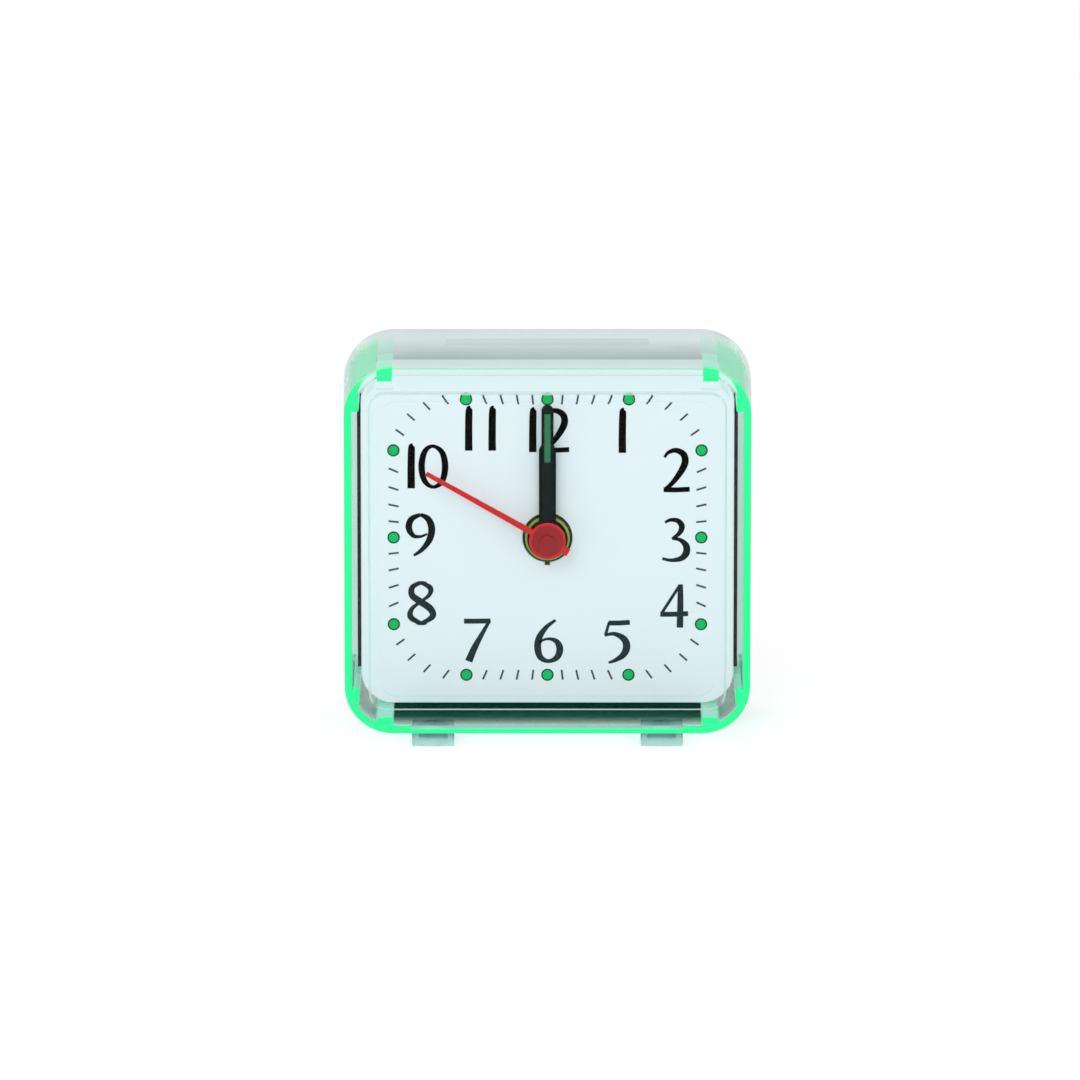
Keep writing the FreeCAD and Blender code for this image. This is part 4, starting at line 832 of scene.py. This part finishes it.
WHEEL_CREAM = (0.74, 0.70, 0.58, 1.0)
WHEEL_SHADE = (0.70, 0.66, 0.54, 1.0)
STEEL = (0.62, 0.63, 0.65, 1.0)
STEEL_SHADE = (0.56, 0.57, 0.59, 1.0)
BRASS = (0.78, 0.6, 0.26, 1.0)
BRASS_SHADE = (0.7, 0.53, 0.22, 1.0)
COPPER = (0.72, 0.3, 0.14, 1.0)
COPPER_SHADE = (0.6, 0.24, 0.1, 1.0)
MAGNET_GREY = (0.16, 0.16, 0.17, 1.0)
MAGNET_SHADE = (0.12, 0.12, 0.13, 1.0)
BOARD_BROWN = (0.38, 0.24, 0.08, 1.0)
BOARD_SHADE = (0.32, 0.2, 0.07, 1.0)
WRAP_BLUE = (0.03, 0.07, 0.2, 1.0)
WRAP_SHADE = (0.025, 0.055, 0.17, 1.0)

wheel_plastic = satin("wheel_moulding", WHEEL_CREAM, WHEEL_SHADE, rough=(0.35, 0.5), scale=300.0)
for name in ("second_wheel", "third_wheel", "centre_wheel", "intermediate_wheel", "rotor_pinion",
             "minute_pipe", "motion_wheel", "hour_wheel", "alarm_wheel", "time_set_shaft",
             "alarm_set_shaft"):
    dress(name, wheel_plastic)
for name in ("movement_front_plate", "movement_back_plate", "coil_bobbin", "chip_blob", "buzzer"):
    dress(name, black_plastic)


def metal(name, first, second, rough, scale=400.0):
    """Bare or plated metal with a faint brushed unevenness."""
    material = satin(name, first, second, rough, scale, grain=6000.0, bump=0.08, shine=0.5)
    material.node_tree.nodes["Principled BSDF"].inputs["Metallic"].default_value = 1.0
    return material


steel = metal("bright_steel", STEEL, STEEL_SHADE, rough=(0.22, 0.36))
for name in ("movement_screws", "motor_stator", "quartz_crystal", "battery_spring_contact",
             "battery_plate_contact"):
    dress(name, steel)
dress("alarm_contact_leaf", metal("leaf_brass", BRASS, BRASS_SHADE, rough=(0.25, 0.4)))
dress("coil_winding",
      metal("enamelled_copper", COPPER, COPPER_SHADE, rough=(0.25, 0.4), scale=3000.0))
dress("rotor_magnet", metal("magnet_grey", MAGNET_GREY, MAGNET_SHADE, rough=(0.4, 0.6)))
dress("circuit_board",
      satin("board_laminate", BOARD_BROWN, BOARD_SHADE, rough=(0.4, 0.55), scale=500.0))
dress("battery_cell", satin("cell_wrap", WRAP_BLUE, WRAP_SHADE, rough=(0.25, 0.35), scale=300.0))


# Back
# White moulded cover, snapped into the rear of the case, with a tilting battery door of the same
# plastic, and black moulded knobs and switch button pushed on from behind.

KNOB_BLACK = (0.018, 0.018, 0.02, 1.0)
KNOB_SHADE = (0.028, 0.028, 0.03, 1.0)

dress("rear_cover", white_plastic)
dress("battery_door", white_plastic)
knob_plastic = satin("knob_moulding", KNOB_BLACK, KNOB_SHADE, rough=(0.4, 0.55))
for name in ("time_set_knob", "alarm_set_knob", "alarm_switch"):
    dress(name, knob_plastic)


# Table, light and camera
# A plain white table under soft even light, seen by a long lens from a little above the clock. The
# table and the sky show white to the camera, and light the clock less than that.

FLOOR_SIZE = 6.0
FLOOR_WHITE = (0.93, 0.93, 0.93, 1.0)
PLAIN_WHITE = (1.0, 1.0, 1.0, 1.0)
FLOOR_LIFT = 0.35
FLOOR_BOUNCE = 0.14
SKY_LEVEL = 0.66
CAMERA_DISTANCE = 1.4
CAMERA_ELEVATION = math.radians(11.9)
PIXELS_PER_METRE = 7140.0
IMAGE_PIXELS = 1080
SENSOR = 36.0
RIM_PIXEL = (547.5, 552.0)

bpy.ops.object.select_all(action="DESELECT")
bpy.ops.mesh.primitive_plane_add(size=FLOOR_SIZE)
floor = bpy.context.object
floor.name = "floor"
table_white, tree, shader = new_material("white_table")
shader.inputs["Base Color"].default_value = FLOOR_WHITE
shader.inputs["Roughness"].default_value = 0.9
shader.inputs["Specular IOR Level"].default_value = 0.0
shader.inputs["Emission Color"].default_value = PLAIN_WHITE
seen = tree.nodes.new("ShaderNodeLightPath").outputs["Is Camera Ray"]
tree.links.new(spread(tree, seen, FLOOR_BOUNCE, FLOOR_LIFT), shader.inputs["Emission Strength"])
floor.data.materials.append(table_white)

world = bpy.data.worlds.new("studio")
bpy.context.scene.world = world
world.use_nodes = True
tree = world.node_tree
background = tree.nodes["Background"]
background.inputs["Color"].default_value = PLAIN_WHITE
path = tree.nodes.new("ShaderNodeLightPath")
seen = largest(tree, path.outputs["Is Camera Ray"], path.outputs["Is Glossy Ray"])
seen = largest(tree, seen, path.outputs["Is Transmission Ray"])
tree.links.new(spread(tree, seen, SKY_LEVEL, 1.0), background.inputs["Strength"])


def soft_lamp(name, place, size, power):
    """Square soft box aimed at the clock."""
    light = bpy.data.lights.new(name, "AREA")
    light.size = size
    light.energy = power
    lamp = bpy.data.objects.new(name, light)
    bpy.context.collection.objects.link(lamp)
    lamp.location = place
    lamp.rotation_euler = (rim_middle - Vector(place)).to_track_quat("-Z", "Y").to_euler()


soft_lamp("key_softbox", place=(-0.35, -0.7, 0.6), size=0.6, power=2.0)
soft_lamp("front_softbox", place=(0.2, -1.1, 0.12), size=0.7, power=3.0)

# The camera looks straight at the dial's side, and the rim's middle falls on its pixel of the frame
camera_data = bpy.data.cameras.new("camera")
camera_data.sensor_width = SENSOR
camera_data.lens = SENSOR * CAMERA_DISTANCE * PIXELS_PER_METRE / IMAGE_PIXELS
camera_data.clip_start = 0.05
camera = bpy.data.objects.new("camera", camera_data)
bpy.context.collection.objects.link(camera)
aim = rim_middle + Vector((
    (IMAGE_PIXELS / 2 - RIM_PIXEL[0]) / PIXELS_PER_METRE,
    0.0,
    (RIM_PIXEL[1] - IMAGE_PIXELS / 2) / PIXELS_PER_METRE / math.cos(CAMERA_ELEVATION),
))
away = Vector((0.0, -math.cos(CAMERA_ELEVATION), math.sin(CAMERA_ELEVATION)))
camera.location = aim + away * CAMERA_DISTANCE
camera.rotation_euler = (-away).to_track_quat("-Z", "Y").to_euler()
bpy.context.scene.camera = camera
bpy.context.scene.view_settings.view_transform = "Standard"
